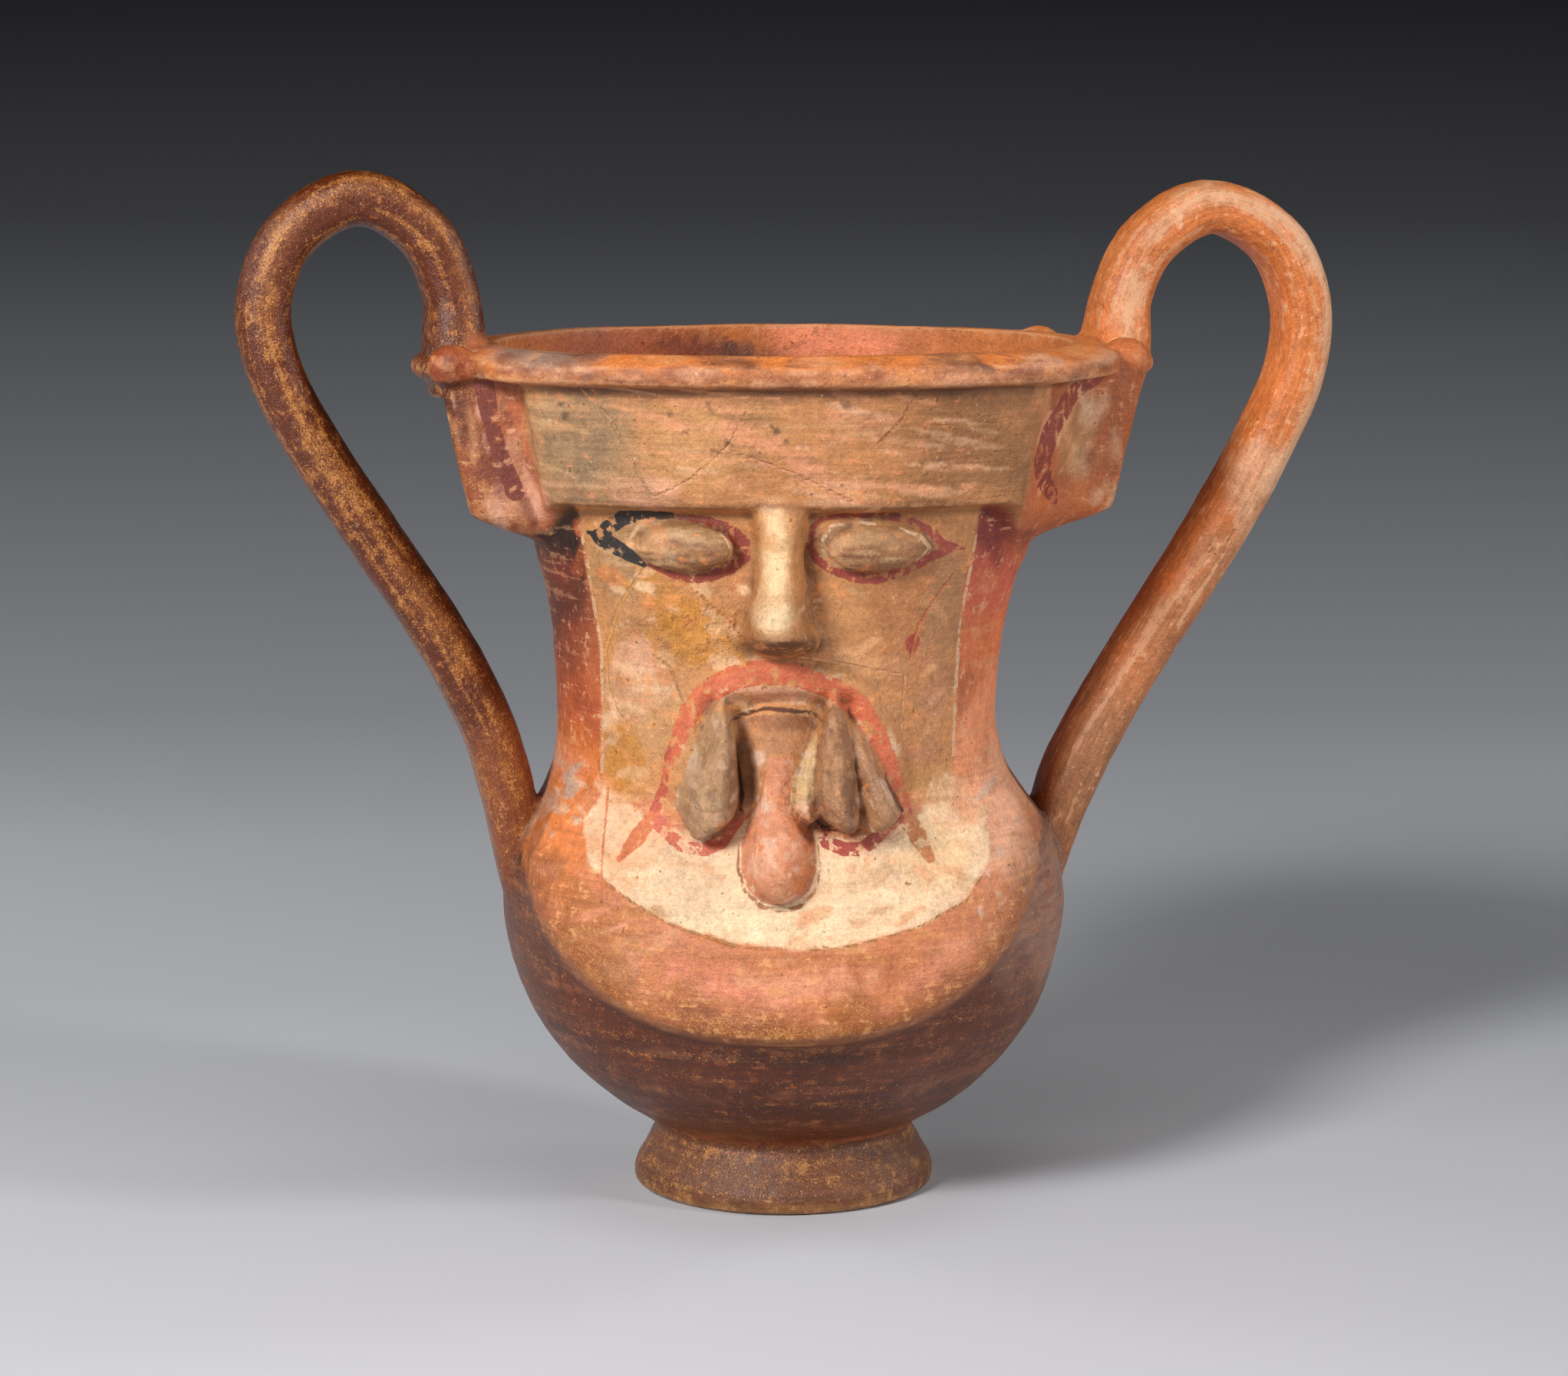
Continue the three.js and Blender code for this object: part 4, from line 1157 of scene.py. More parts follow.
WASHES: tuple[Wash, ...] = (
    # outside of the neck, left then right
    *washes(Zone.NECK, (
        ("b4562f", -52, 126, 10, 14), ("86402a", -52, 143, 10, 11, 0.85),
        ("54291d", -53, 156, 9, 11, 0.85, 0, 0.5), ("2c1d17", -54, 173, 10, 12, 0.95, 0, 0.4),
        # e07a4a and ee9668: the right side of the neck painted lighter, painted light of the right-hand lamp
        # over its orange slip.
        ("d0702f", -50, 111, 9, 8, 0.85), ("e07a4a", 50, 138, 9, 14, 0.9), ("cc6048", 49, 156, 8, 10, 0.85),
        ("7c2624", 50, 171, 8, 9, 0.9), ("ee9668", 50, 118, 10, 12, 0.9),
    )),
    # block: forehead, corners, niches and ridges
    *washes(Zone.BLOCK, (
        ("74351f", -76, 186, 13, 30, 0.9, 0, 0.5), ("4e2618", -80, 190, 8, 24, 0.7, 0, 0.5),
        ("b0613a", -78, 178, 7, 10, 0.6, 0, 0.6), ("c98a68", -63, 182, 4, 12, 0.7, 14, 0.7),
        ("a35c34", -72, 196, 5, 8, 0.6, 0, 0.7), ("d0947a", -62, 176, 7, 5, 0.6, 0, 0.5),
        ("a8582c", 84, 190, 10, 26, 0.85), ("b07c50", 70, 188, 6, 13, 0.9, 0, 0.35, 0.3),
        ("8a5836", 66, 196, 5, 7, 0.6), ("cc7038", 74, 174, 12, 5, 0.7),
    )),
    *washes(Zone.FOREHEAD, (
        ("9a7c58", -49, 190, 16, 14, 0.75), ("786248", -43, 183, 9, 11, 0.6, 0, 0.6),
        ("c8925c", -20, 190, 20, 10, 0.6, 20), ("de9f7c", -31, 179, 7, 4, 0.85, 0, 0.35, 0.3),
        ("dc8f68", 2, 187, 15, 2.4, 0.7, -24, 0.8, 0.3), ("da8f64", 16, 196, 12, 2.2, 0.6, -10, 0.9, 0.3),
        ("dd9868", 12, 179, 12, 2.2, 0.6, -16, 0.9, 0.3), ("d08a60", 30, 188, 10, 2, 0.6, -6, 0.9, 0.3),
        # 7a4e30: the lip's painted shadow along the top of the forehead.
        ("885a34", 44, 190, 19, 17), ("8a5a38", 0, 175.5, 60, 1.4, 0.6), ("7a4e30", 0, 203.4, 70, 2.4),
    )),
    *washes(Zone.BLOCK, (
        # 5c3020: the lip's painted shadow along the top of the whole block.
        ("5c3020", 0, 204.2, 95, 1.4, 0.7),
    )),
    # face
    *washes(Zone.FACE, (
        ("96734c", -38, 156, 7, 14, 0.7, 0, 0.6), ("cf8a38", -22, 147, 13, 8, 0.8, -32, 0.9, 0.2),
        ("be7a2e", -28, 152, 7, 5, 0.7, -30, 0.6, 0.3), ("d9a07c", -36, 133, 6, 11, 0.8, 0, 0.8, 0.15),
        ("b98c5c", -30, 124, 8, 10, 0.5), ("bf7c2c", -38, 114, 5, 9, 0.75, 0, 0.6, 0.3),
        ("c98a6c", 35, 129, 6.5, 9, 0.5, 0, 0.9, 0.2), ("b58e66", 38, 150, 4, 15, 0.6, 0, 0.6),
        ("d69b5c", 35, 107, 6, 5, 0.6), ("a9794c", 14, 150, 8, 8, 0.4),
        # a0693c twice: painted shade down both sides of the nose; efc898 and f0cda2: painted highlight along
        # its ridge and on its worn tip.
        ("dba06e", 20, 138, 12, 2.6, 0.6, -12, 0.8), ("a0693c", -7.6, 158, 2.4, 15, 0.6),
        ("a0693c", 6.4, 157, 2.6, 15, 0.6), ("efc898", -1.8, 160, 3.4, 19, 0.85, 0, 0.4),
        # 5c3520: painted shade under the nose; 94583a: the nose's painted shadow cast on the lip below.
        ("f0cda2", -2.4, 151.5, 4.4, 3.4), ("5c3520", 0.8, 143.6, 9.4, 3.2, 0.95, 0, 0.35, 0.3),
        ("94583a", 3, 139.4, 8, 2.2, 0.7, 0, 0.35, 0.6),
        ("e3aa88", -2, 131.4, 12, 2.8, 0.85, 0, 0.35, 0.3),
        ("987048", -23.6, 166, 13, 6.2, 1.0, 0, 0.06, 0.05),
        # 7c4a2e twice: each eye's darker lower half, its mottled brown and painted shade under the dome.
        ("9a734c", 21.8, 166.2, 13.4, 6.4, 1.0, 0, 0.06, 0.05), ("7c4a2e", -21, 163.4, 9, 2.6, 0.7),
        ("7c4a2e", 21, 163.2, 9, 2.6, 0.7), ("b88c60", -27, 168.8, 7, 1.6, 0.6, 0, 0.6),
        ("b88c62", 18, 169, 8, 1.6, 0.6, 0, 0.6), ("9a5c34", 33, 148, 13, 26, 0.5),
        ("b0703e", 24, 116, 14, 10, 0.3),
    )),
    # beard and chin
    *washes(Zone.BEARD, (
        ("dc7a38", -56, 96, 10, 16, 0.9), ("e08a64", -55, 112, 8, 7),
        ("b99c86", -58, 101, 3.4, 5, 0.8, 0, 0.8, 0.3), ("c67a46", -40, 72, 16, 9, 0.6, -40, 0.6),
        ("e08562", -20, 66.5, 18, 4, 0.85, -12, 0.8, 0.25), ("e08a66", 34, 66, 16, 6, 0.85, 28, 0.8, 0.25),
        # ecae8a: the beard's right side painted lighter, painted light of the right-hand lamp.
        ("e59a74", 8, 66, 12, 3.6, 0.7, 6, 0.8, 0.25), ("ecae8a", 54, 100, 8, 16, 0.85, 0, 0.5),
        # 84461f: the beard's lower ridge darkened, its dark golden slip and painted shade on its underside.
        ("84461f", 0, 52.6, 52, 4.2, 0.9, 0, 0.5), ("a8602a", -46, 80, 13, 5, 0.7, -44, 0.8, 0.3),
        ("a65c2a", -22, 59, 18, 4.5, 0.65, -12, 0.8, 0.4), ("ae6630", 22, 58, 18, 4.5, 0.65, 14, 0.8, 0.4),
        # ad6434: painted shade on the beard below the cream's edge.
        ("ad6434", 0, 71.4, 34, 1.6, 0.6, 0, 0.7),
    )),
    # bowl and foot
    *washes(Zone.BOWL, (
        ("663c28", -66, 72, 12, 22, 0.7), ("a67a64", 66, 74, 12, 24, 0.75),
        # 542208 and 6c371a: the bowl painted darker towards its bottom, painted shade on its underside.
        ("8a4c30", 24, 40, 18, 4, 0.4, 16, 0.6), ("542208", 0, 32, 60, 8, 0.8, 0, 0.35, 0.6),
        # 3e1c0e: painted shadow under the beard's ridge.
        ("6c371a", 0, 22, 60, 4, 0.7), ("3e1c0e", -10, 45, 50, 2.2, 0.6, 0, 0.6),
    )),
    *washes(Zone.FOOT, (
        ("683a24", 0, 16, 60, 3, 0.7), ("a97440", 0, 0.5, 60, 1.8, 0.6, 0, 0.8),
    )),
    # chin's cream ground
    *washes(Zone.CREAM, (
        ("e8ab80", -38, 97, 8, 9, 0.7, 0, 0.8, 0.3), ("c99a6c", 16, 88, 12, 3, 0.6, 10, 0.9, 0.3),
        ("efcfa4", -6, 79, 22, 4, 0.7, 0, 0.6), ("e6bb88", 36, 92, 9, 7, 0.6, 0, 0.8, 0.3),
        ("dba27a", 42, 104, 5, 5, 0.6, 0, 0.8, 0.3),
    )),
    # lip and inside
    *washes(Zone.LIP, (
        ("e07e3a", 0, 213, 90, 4.8, 0.95, 0, 0.2), ("8f7c70", -58, 211, 12, 4, 0.8, 0, 0.5),
        ("a0603a", 0, 205.6, 90, 2.4, 0.8, 0, 0.5),
    )),
    *washes(Zone.INSIDE, (
        ("b4652e", 0, 190, 90, 30, 0.7), ("4a3630", -16, 205, 20, 3, 0.85, -8, 0.8, 0.3, 60, 30),
        ("ee8a60", 14, 206, 20, 5, 0.9, 0, 0.6, 0.5, 60, 30),
        ("a9553a", -40, 205, 22, 8, 0.6, 0, 0.35, 0.5, 50, 30),
    )),
    *washes(Zone.LIP, (
        ("8c3e1e", -80, 208, 9, 8, 0.9, 0, 0.4), ("b25c2c", 84, 208, 8, 8, 0.75, 0, 0.4),
    )),
    # handles
    *washes(Zone.LEFT_HANDLE, (
        ("94502a", -70, 100, 12, 22, 0.6),
    )),
    *washes(Zone.RIGHT_HANDLE, (
        ("80583e", 74, 110, 12, 18, 0.6), ("cf9c78", 117, 178, 9, 9, 0.65, 0, 0.7, 0.3),
    )),
)


@dataclass(frozen=True)
class Scatter:
    """Many small marks of a few colours within a box of the front view."""

    zone: Zone
    colours: Sequence[str]
    count: int
    box: tuple[float, float, float, float]
    length: tuple[float, float]
    width: tuple[float, float]
    tilt: tuple[float, float]
    strength: tuple[float, float]
    seed: int
    soft: float = 0.2
    ragged: float = 0.7

    def marks(self) -> list[Wash]:
        """Draws the marks."""
        draw = np.random.default_rng(self.seed)
        low_x, high_x, low_z, high_z = self.box
        return [
            Wash(
                zone=self.zone,
                colour=self.colours[int(draw.integers(len(self.colours)))],
                x=float(draw.uniform(low_x, high_x)),
                z=float(draw.uniform(low_z, high_z)),
                half_x=float(draw.uniform(*self.length)),
                half_z=float(draw.uniform(*self.width)),
                tilt=float(draw.uniform(*self.tilt)),
                strength=float(draw.uniform(*self.strength)),
                soft=self.soft,
                ragged=self.ragged,
            )
            for _ in range(self.count)
        ]


SCATTERS = (
    Scatter(
        Zone.FACE, ("b98e62", "7c4a2e", "c49a70", "96623e"), 40, (-35, -12, 161, 171), (1.5, 5),
        (0.25, 0.7), (-8, 8), (0.4, 0.8), 31,
    ),
    Scatter(
        Zone.FACE, ("b98e62", "7c4a2e", "c49a70", "96623e"), 40, (10, 34, 161, 171), (1.5, 5), (0.25, 0.7),
        (-8, 8), (0.4, 0.8), 32,
    ),
    Scatter(
        Zone.FACE, ("dca06c", "d98a50", "b07a48", "e2b890"), 90, (-44, 42, 104, 175), (1.2, 5), (0.4, 1.3),
        (-50, 50), (0.25, 0.7), 11,
    ),
    Scatter(
        Zone.FACE, ("dfae84", "c77a44", "e6b98c"), 40, (-42, -8, 124, 158), (1, 3.6), (0.5, 1.8), (-60, 0),
        (0.35, 0.8), 12,
    ),
    Scatter(
        Zone.FACE, ("8f6238", "a8703e"), 26, (-44, 42, 104, 175), (3, 11), (0.8, 3), (-30, 60), (0.15, 0.4),
        13,
    ),
    Scatter(
        Zone.FOREHEAD, ("dc9468", "d2a070", "9a6a40", "e0a880"), 80, (-56, 58, 176, 203), (3, 11),
        (0.3, 1.0), (-14, 10), (0.25, 0.6), 14,
    ),
    Scatter(
        Zone.FOREHEAD, ("5c3c28", "6a4a34"), 26, (-54, 56, 178, 202), (0.4, 1.2), (0.3, 0.8), (-40, 40),
        (0.4, 0.8), 15,
    ),
    Scatter(
        Zone.CREAM, ("e0a87c", "d99468", "f3d9b0", "c98f62", "efc79c"), 110, (-47, 47, 74, 110), (1, 5),
        (0.5, 1.8), (-40, 40), (0.3, 0.75), 16,
    ),
    Scatter(
        Zone.BEARD, ("e0a074", "cf8a58", "b05f36", "e08c6c"), 120, (-66, 66, 48, 116), (2, 9), (0.4, 1.6),
        (-30, 30), (0.2, 0.6), 17,
    ),
    Scatter(
        Zone.BEARD, ("c9a58a", "e6b598"), 40, (44, 66, 78, 118), (0.8, 3.4), (0.5, 1.8), (-60, 60),
        (0.4, 0.8), 18,
    ),
    Scatter(
        Zone.BEARD, ("bda28c", "d9b090"), 22, (-64, -48, 92, 116), (0.8, 3), (0.5, 1.6), (-60, 60),
        (0.35, 0.8), 19,
    ),
    Scatter(
        Zone.BOWL, ("8f5030", "9a5c3a", "46200f", "7a4026"), 170, (-68, 68, 18, 100), (4, 16), (0.2, 0.8),
        (-8, 8), (0.2, 0.5), 20,
    ),
    Scatter(
        Zone.FACE, ("cfa884", "8a6040", "b98a68", "d8b494", "7a5236"), 110, (-26, 28, 98, 131), (0.4, 1.6),
        (0.4, 2.2), (-30, 30), (0.3, 0.7), 25,
    ),
    Scatter(
        Zone.BEARD, ("b06c30", "985224", "c98c4c"), 80, (-60, 60, 48, 86), (2, 7), (0.3, 1.2), (-30, 30),
        (0.3, 0.6), 26,
    ),
    Scatter(
        Zone.NECK, ("d98a5c", "e0a078", "7a3224", "c4602f"), 90, (-60, 60, 104, 172), (0.8, 3), (1, 5),
        (-20, 20), (0.25, 0.6), 21,
    ),
    Scatter(
        Zone.BLOCK, ("e0a888", "7a3a28", "c88a5c"), 50, (-88, -58, 170, 203), (0.5, 1.8), (1.5, 6),
        (-10, 30), (0.3, 0.7), 22,
    ),
    Scatter(
        Zone.BLOCK, ("d99a6c", "a0522c", "e0b088"), 40, (60, 90, 170, 203), (0.5, 1.8), (1.5, 6), (-30, 10),
        (0.3, 0.6), 23,
    ),
    Scatter(
        Zone.LIP, ("8a4c34", "e0a078", "dd9058", "6a4030"), 160, (-84, 84, 203, 211), (0.8, 5), (0.4, 1.4),
        (-8, 8), (0.3, 0.7), 24,
    ),
)
PATCH_SCATTERS = (
    Scatter(
        Zone.ALL, ("c9a688", "7c5a40", "b88a6c", "8f6a4a", "d0b094"), 130, (-26, -9, 97, 131), (0.4, 1.5),
        (0.4, 2.4), (-20, 20), (0.15, 0.45), 41,
    ),
    Scatter(
        Zone.ALL, ("b98a64", "6e4a34", "c49a78", "84583c"), 90, (6, 18, 99, 131), (0.4, 1.3), (0.5, 2.6),
        (-15, 15), (0.15, 0.45), 42,
    ),
    Scatter(
        Zone.ALL, ("c9a084", "74482f", "8f5c40", "dcb89a"), 60, (17, 28, 99, 124), (0.3, 0.8), (1, 4),
        (20, 34), (0.25, 0.65), 43,
    ),
    Scatter(
        Zone.ALL, ("e2b498", "cc7444", "dc9a78", "c86a3c", "e8c4ac"), 80, (-10, 8, 83, 118), (0.6, 2.4),
        (0.5, 2.4), (-50, 50), (0.2, 0.5), 44,
    ),
)
PATCH_WASHES: tuple[Wash, ...] = (
    *washes(Zone.ALL, (
        # 7a5236 and c9a078: the left tusk's right side painted darker and its left side lighter, painted
        #                    shade and highlight.
        ("7a5236", -12, 112, 2, 10, 0.6), ("c9a078", -20, 112, 2.4, 8, 0.5, 14),
        # 6c4630 and c08a60: the same painted shade and highlight on the right tusk.
        ("6c4630", 16.6, 106, 1.6, 8, 0.6), ("c08a60", 10, 112, 2, 10, 0.5), ("d4763e", 4.4, 95, 3.6, 11),
        # e0a686: painted highlight on the tongue's left; 8a5638: painted shade under the upper lip.
        ("e0a686", -4.6, 94, 3.4, 5, 0.5, 0.0, 0.6), ("8a5638", -1, 125, 11, 2, 0.7),
    )),
)


HANDLES = {Zone.LEFT_HANDLE: LEFT_HANDLE, Zone.RIGHT_HANDLE: RIGHT_HANDLE}


@dataclass(frozen=True)
class Edges:
    """Where each surface's paint gives way to the next: every pair is the start and end of a soft edge."""

    front: Pair = (-2.0, -8.0)
    hollow_wall: Pair = (3.5, 1.0)
    hollow_floor: Pair = (20.5, 22.0)
    hollow_top: Pair = (212.5, 210.0)
    hollow_facing: Pair = (-0.6, 0.1)
    level_floor: float = 40.0
    handle_out: Pair = (0.5, 3.0)
    handle_over: Pair = (211.5, 214.0)
    handle_reach: Pair = (12.0, 9.5)
    ledge: Pair = (174.6, 166.4)
    ledge_soft: float = 1.0
    neck_top: Pair = (1.5, -0.5)
    neck_low: Pair = (101.0, 106.0)
    ragged_size: float = 5.0
    cream: Pair = (0.5, -0.5)
    cream_ragged: Pair = (0.5, 2.2)
    cream_loose: Pair = (84.0, 96.0)
    face_side: Pair = (-0.4, 0.4)
    face_low: Pair = (100.0, 104.0)
    face_top: Pair = (176.5, 175.0)
    brow_side: Pair = (-1.0, 1.0)
    brow_ragged: float = 0.8
    block_top: Pair = (204.5, 203.0)
    lip_low: Pair = (203.0, 204.5)
    beard_side: Pair = (-1.8, 0.2)
    beard_top: Pair = (118.0, 110.0)
    beard_under_face: Pair = (106.0, 109.0)
    bowl_low: Pair = (17.0, 19.0)
    bowl_top: Pair = (112.0, 102.0)
    foot_top: Pair = (17.5, 16.0)


EDGES = Edges()


class Skin:
    """What is known of the cup's surface at each corner of its mesh."""

    def __init__(self, cup: Piece) -> None:
        """Reads the mesh and finds which surface each corner lies on."""
        self.points = Bench.points(cup)
        self.normals = Bench.normals(cup)
        self.x, self.y, self.z = self.points.T
        self.angle, self.reach = around(self.points)
        self.facing = smooth(*EDGES.front, self.y)
        self.bars = {zone: handle.along(self.points) for zone, handle in HANDLES.items()}
        self.cloud = Grain(5)
        self.zones = self.find_zones()

    def between(self, left: Knots, right: Knots) -> Array:
        """How far each corner lies inside two upright lines of the front view."""
        return np.minimum(self.x - Curve(left)(self.z), Curve(right)(self.z) - self.x)

    def find_inside(self) -> Array:
        """Share of the cup's hollow, from 0 to 1."""
        inward = -(self.normals[:, 0] * self.x + self.normals[:, 1] * self.y) / np.maximum(self.reach, 1.0)
        inward += np.where(self.z < EDGES.level_floor, 1.0, 0.0)
        depth = self.reach - WALL.inside_radius(self.angle, self.z)
        near = smooth(*EDGES.hollow_wall, depth) * smooth(*EDGES.hollow_floor, self.z)
        return near * smooth(*EDGES.hollow_facing, inward) * smooth(*EDGES.hollow_top, self.z)

    def find_zones(self) -> dict[Zone, Array]:
        """Shares of each surface, from 0 to 1."""
        z = self.z
        inside = self.find_inside()
        out = self.reach - WALL.radius(self.angle, z)
        clear = np.maximum(smooth(*EDGES.handle_out, out), smooth(*EDGES.handle_over, z))
        left, right = (smooth(*EDGES.handle_reach, bar[2]) * clear for bar in self.bars.values())
        bare = (1.0 - inside) * (1.0 - left) * (1.0 - right)
        front = bare * self.facing
        low = lerp(*EDGES.ledge, smooth(*WALL.ledge_turn, np.abs(np.degrees(self.angle))))
        edge = self.cloud.cloud(self.points, EDGES.ragged_size, 3)
        tight, loose = EDGES.cream_ragged
        ragged = tight + loose * smooth(*EDGES.cream_loose, z)
        cream = smooth(*EDGES.cream, CREAM_EDGE.distance(self.x, z) + ragged * edge) * front
        panel = self.between(PANEL_LEFT, PANEL_RIGHT) + EDGES.face_side[1] * edge
        level = smooth(*EDGES.face_low, z) * smooth(*EDGES.face_top, z)
        face = front * smooth(*EDGES.face_side, panel) * level
        above = smooth(low - EDGES.ledge_soft, low + EDGES.ledge_soft, z)
        block = bare * above * smooth(*EDGES.block_top, z)
        brow = self.between(BROW_LEFT, BROW_RIGHT) + EDGES.brow_ragged * edge
        below = smooth(low + EDGES.neck_top[0], low + EDGES.neck_top[1], z)
        beard = smooth(*EDGES.beard_side, WALL.beard.inside(self.x, z))
        under_face = 1 - face * smooth(*EDGES.beard_under_face, z)
        bowl = bare * smooth(*EDGES.bowl_low, z) * smooth(*EDGES.bowl_top, z)
        return {
            Zone.ALL: np.ones_like(z),
            Zone.INSIDE: inside,
            Zone.FACE: face,
            Zone.NECK: bare * (1 - face) * smooth(*EDGES.neck_low, z) * below,
            Zone.BLOCK: block,
            Zone.FOREHEAD: block * front * smooth(*EDGES.brow_side, brow),
            Zone.LIP: bare * smooth(*EDGES.lip_low, z),
            Zone.BEARD: front * beard * smooth(*EDGES.beard_top, z) * (1 - cream) * under_face,
            Zone.CREAM: cream,
            Zone.BOWL: bowl * (1 - beard * self.facing),
            Zone.FOOT: bare * smooth(*EDGES.foot_top, z),
            Zone.LEFT_HANDLE: left,
            Zone.RIGHT_HANDLE: right,
        }


@dataclass(frozen=True)
class Band:
    """A soft band of paint that wanders along a handle."""

    zone: Zone
    colour: str
    strength: float
    middle: Knots
    edge: Pair
    ragged: float
    end: Pair

    def share(self, skin: Skin, noise: Array) -> Array:
        """How much of the band each corner has, before its strength."""
        along, out, _ = skin.bars[self.zone]
        edge = smooth(*self.edge, np.abs(out - Curve(self.middle)(along)) + self.ragged * noise)
        return edge * skin.zones[self.zone] * smooth(*self.end, along)


LEFT_BAND = Band(
    Zone.LEFT_HANDLE, "a5622e", strength=0.34, edge=(0.45, 0.05), ragged=0.3, end=(0.95, 0.7),
    middle=((0, -0.5), (0.12, -0.5), (0.26, -0.45), (0.4, 0.15), (0.55, 0.1), (0.8, 0.3), (1, 0.3)),
)
RIGHT_BAND = Band(
    Zone.RIGHT_HANDLE, "cfa07a", strength=0.6, edge=(0.6, 0.1), ragged=0.35, end=(0.8, 0.5),
    middle=((0, 0.1), (0.15, -0.3), (0.28, -0.5), (0.38, -0.9), (0.52, -0.6), (0.8, 0), (1, 0)),
)


@dataclass(frozen=True)
class Place:
    """A block of the front view, from its low to its high x and z, that lies in front of y."""

    x: Pair
    z: Pair
    y: float

    def holds(self, skin: Skin) -> Array:
        """Which corners lie in it."""
        across = (skin.x > self.x[0]) & (skin.x < self.x[1])
        return across & (skin.z > self.z[0]) & (skin.z < self.z[1]) & (skin.y < self.y)


TONGUE_PLACE = Place((-11.2, 8.8), (82, 104), -66)
FOLD_PLACE = Place((16.5, 28), (98, 124), -58)
MOUTH_PLACE = Place((-27, 27), (98, 131), -60)
SPECKLE = {Zone.LEFT_HANDLE: 0.5, Zone.FOOT: 0.5, Zone.BOWL: 0.3, Zone.FACE: -0.15, Zone.INSIDE: -0.15}
STREAKS = {Zone.RIGHT_HANDLE: 0.5, Zone.LEFT_HANDLE: 0.5, Zone.BOWL: 0.3, Zone.NECK: 0.35}
BRUSHED = {
    Zone.BOWL: 1.0, Zone.FOOT: 1.0, Zone.RIGHT_HANDLE: 1.2, Zone.LEFT_HANDLE: 0.6, Zone.FOREHEAD: 0.6,
    Zone.BEARD: 0.5,
}
POLISH = {Zone.LEFT_HANDLE: 0.65, Zone.RIGHT_HANDLE: 0.35, Zone.BOWL: 0.45, Zone.FOOT: 0.4, Zone.BEARD: 0.25}


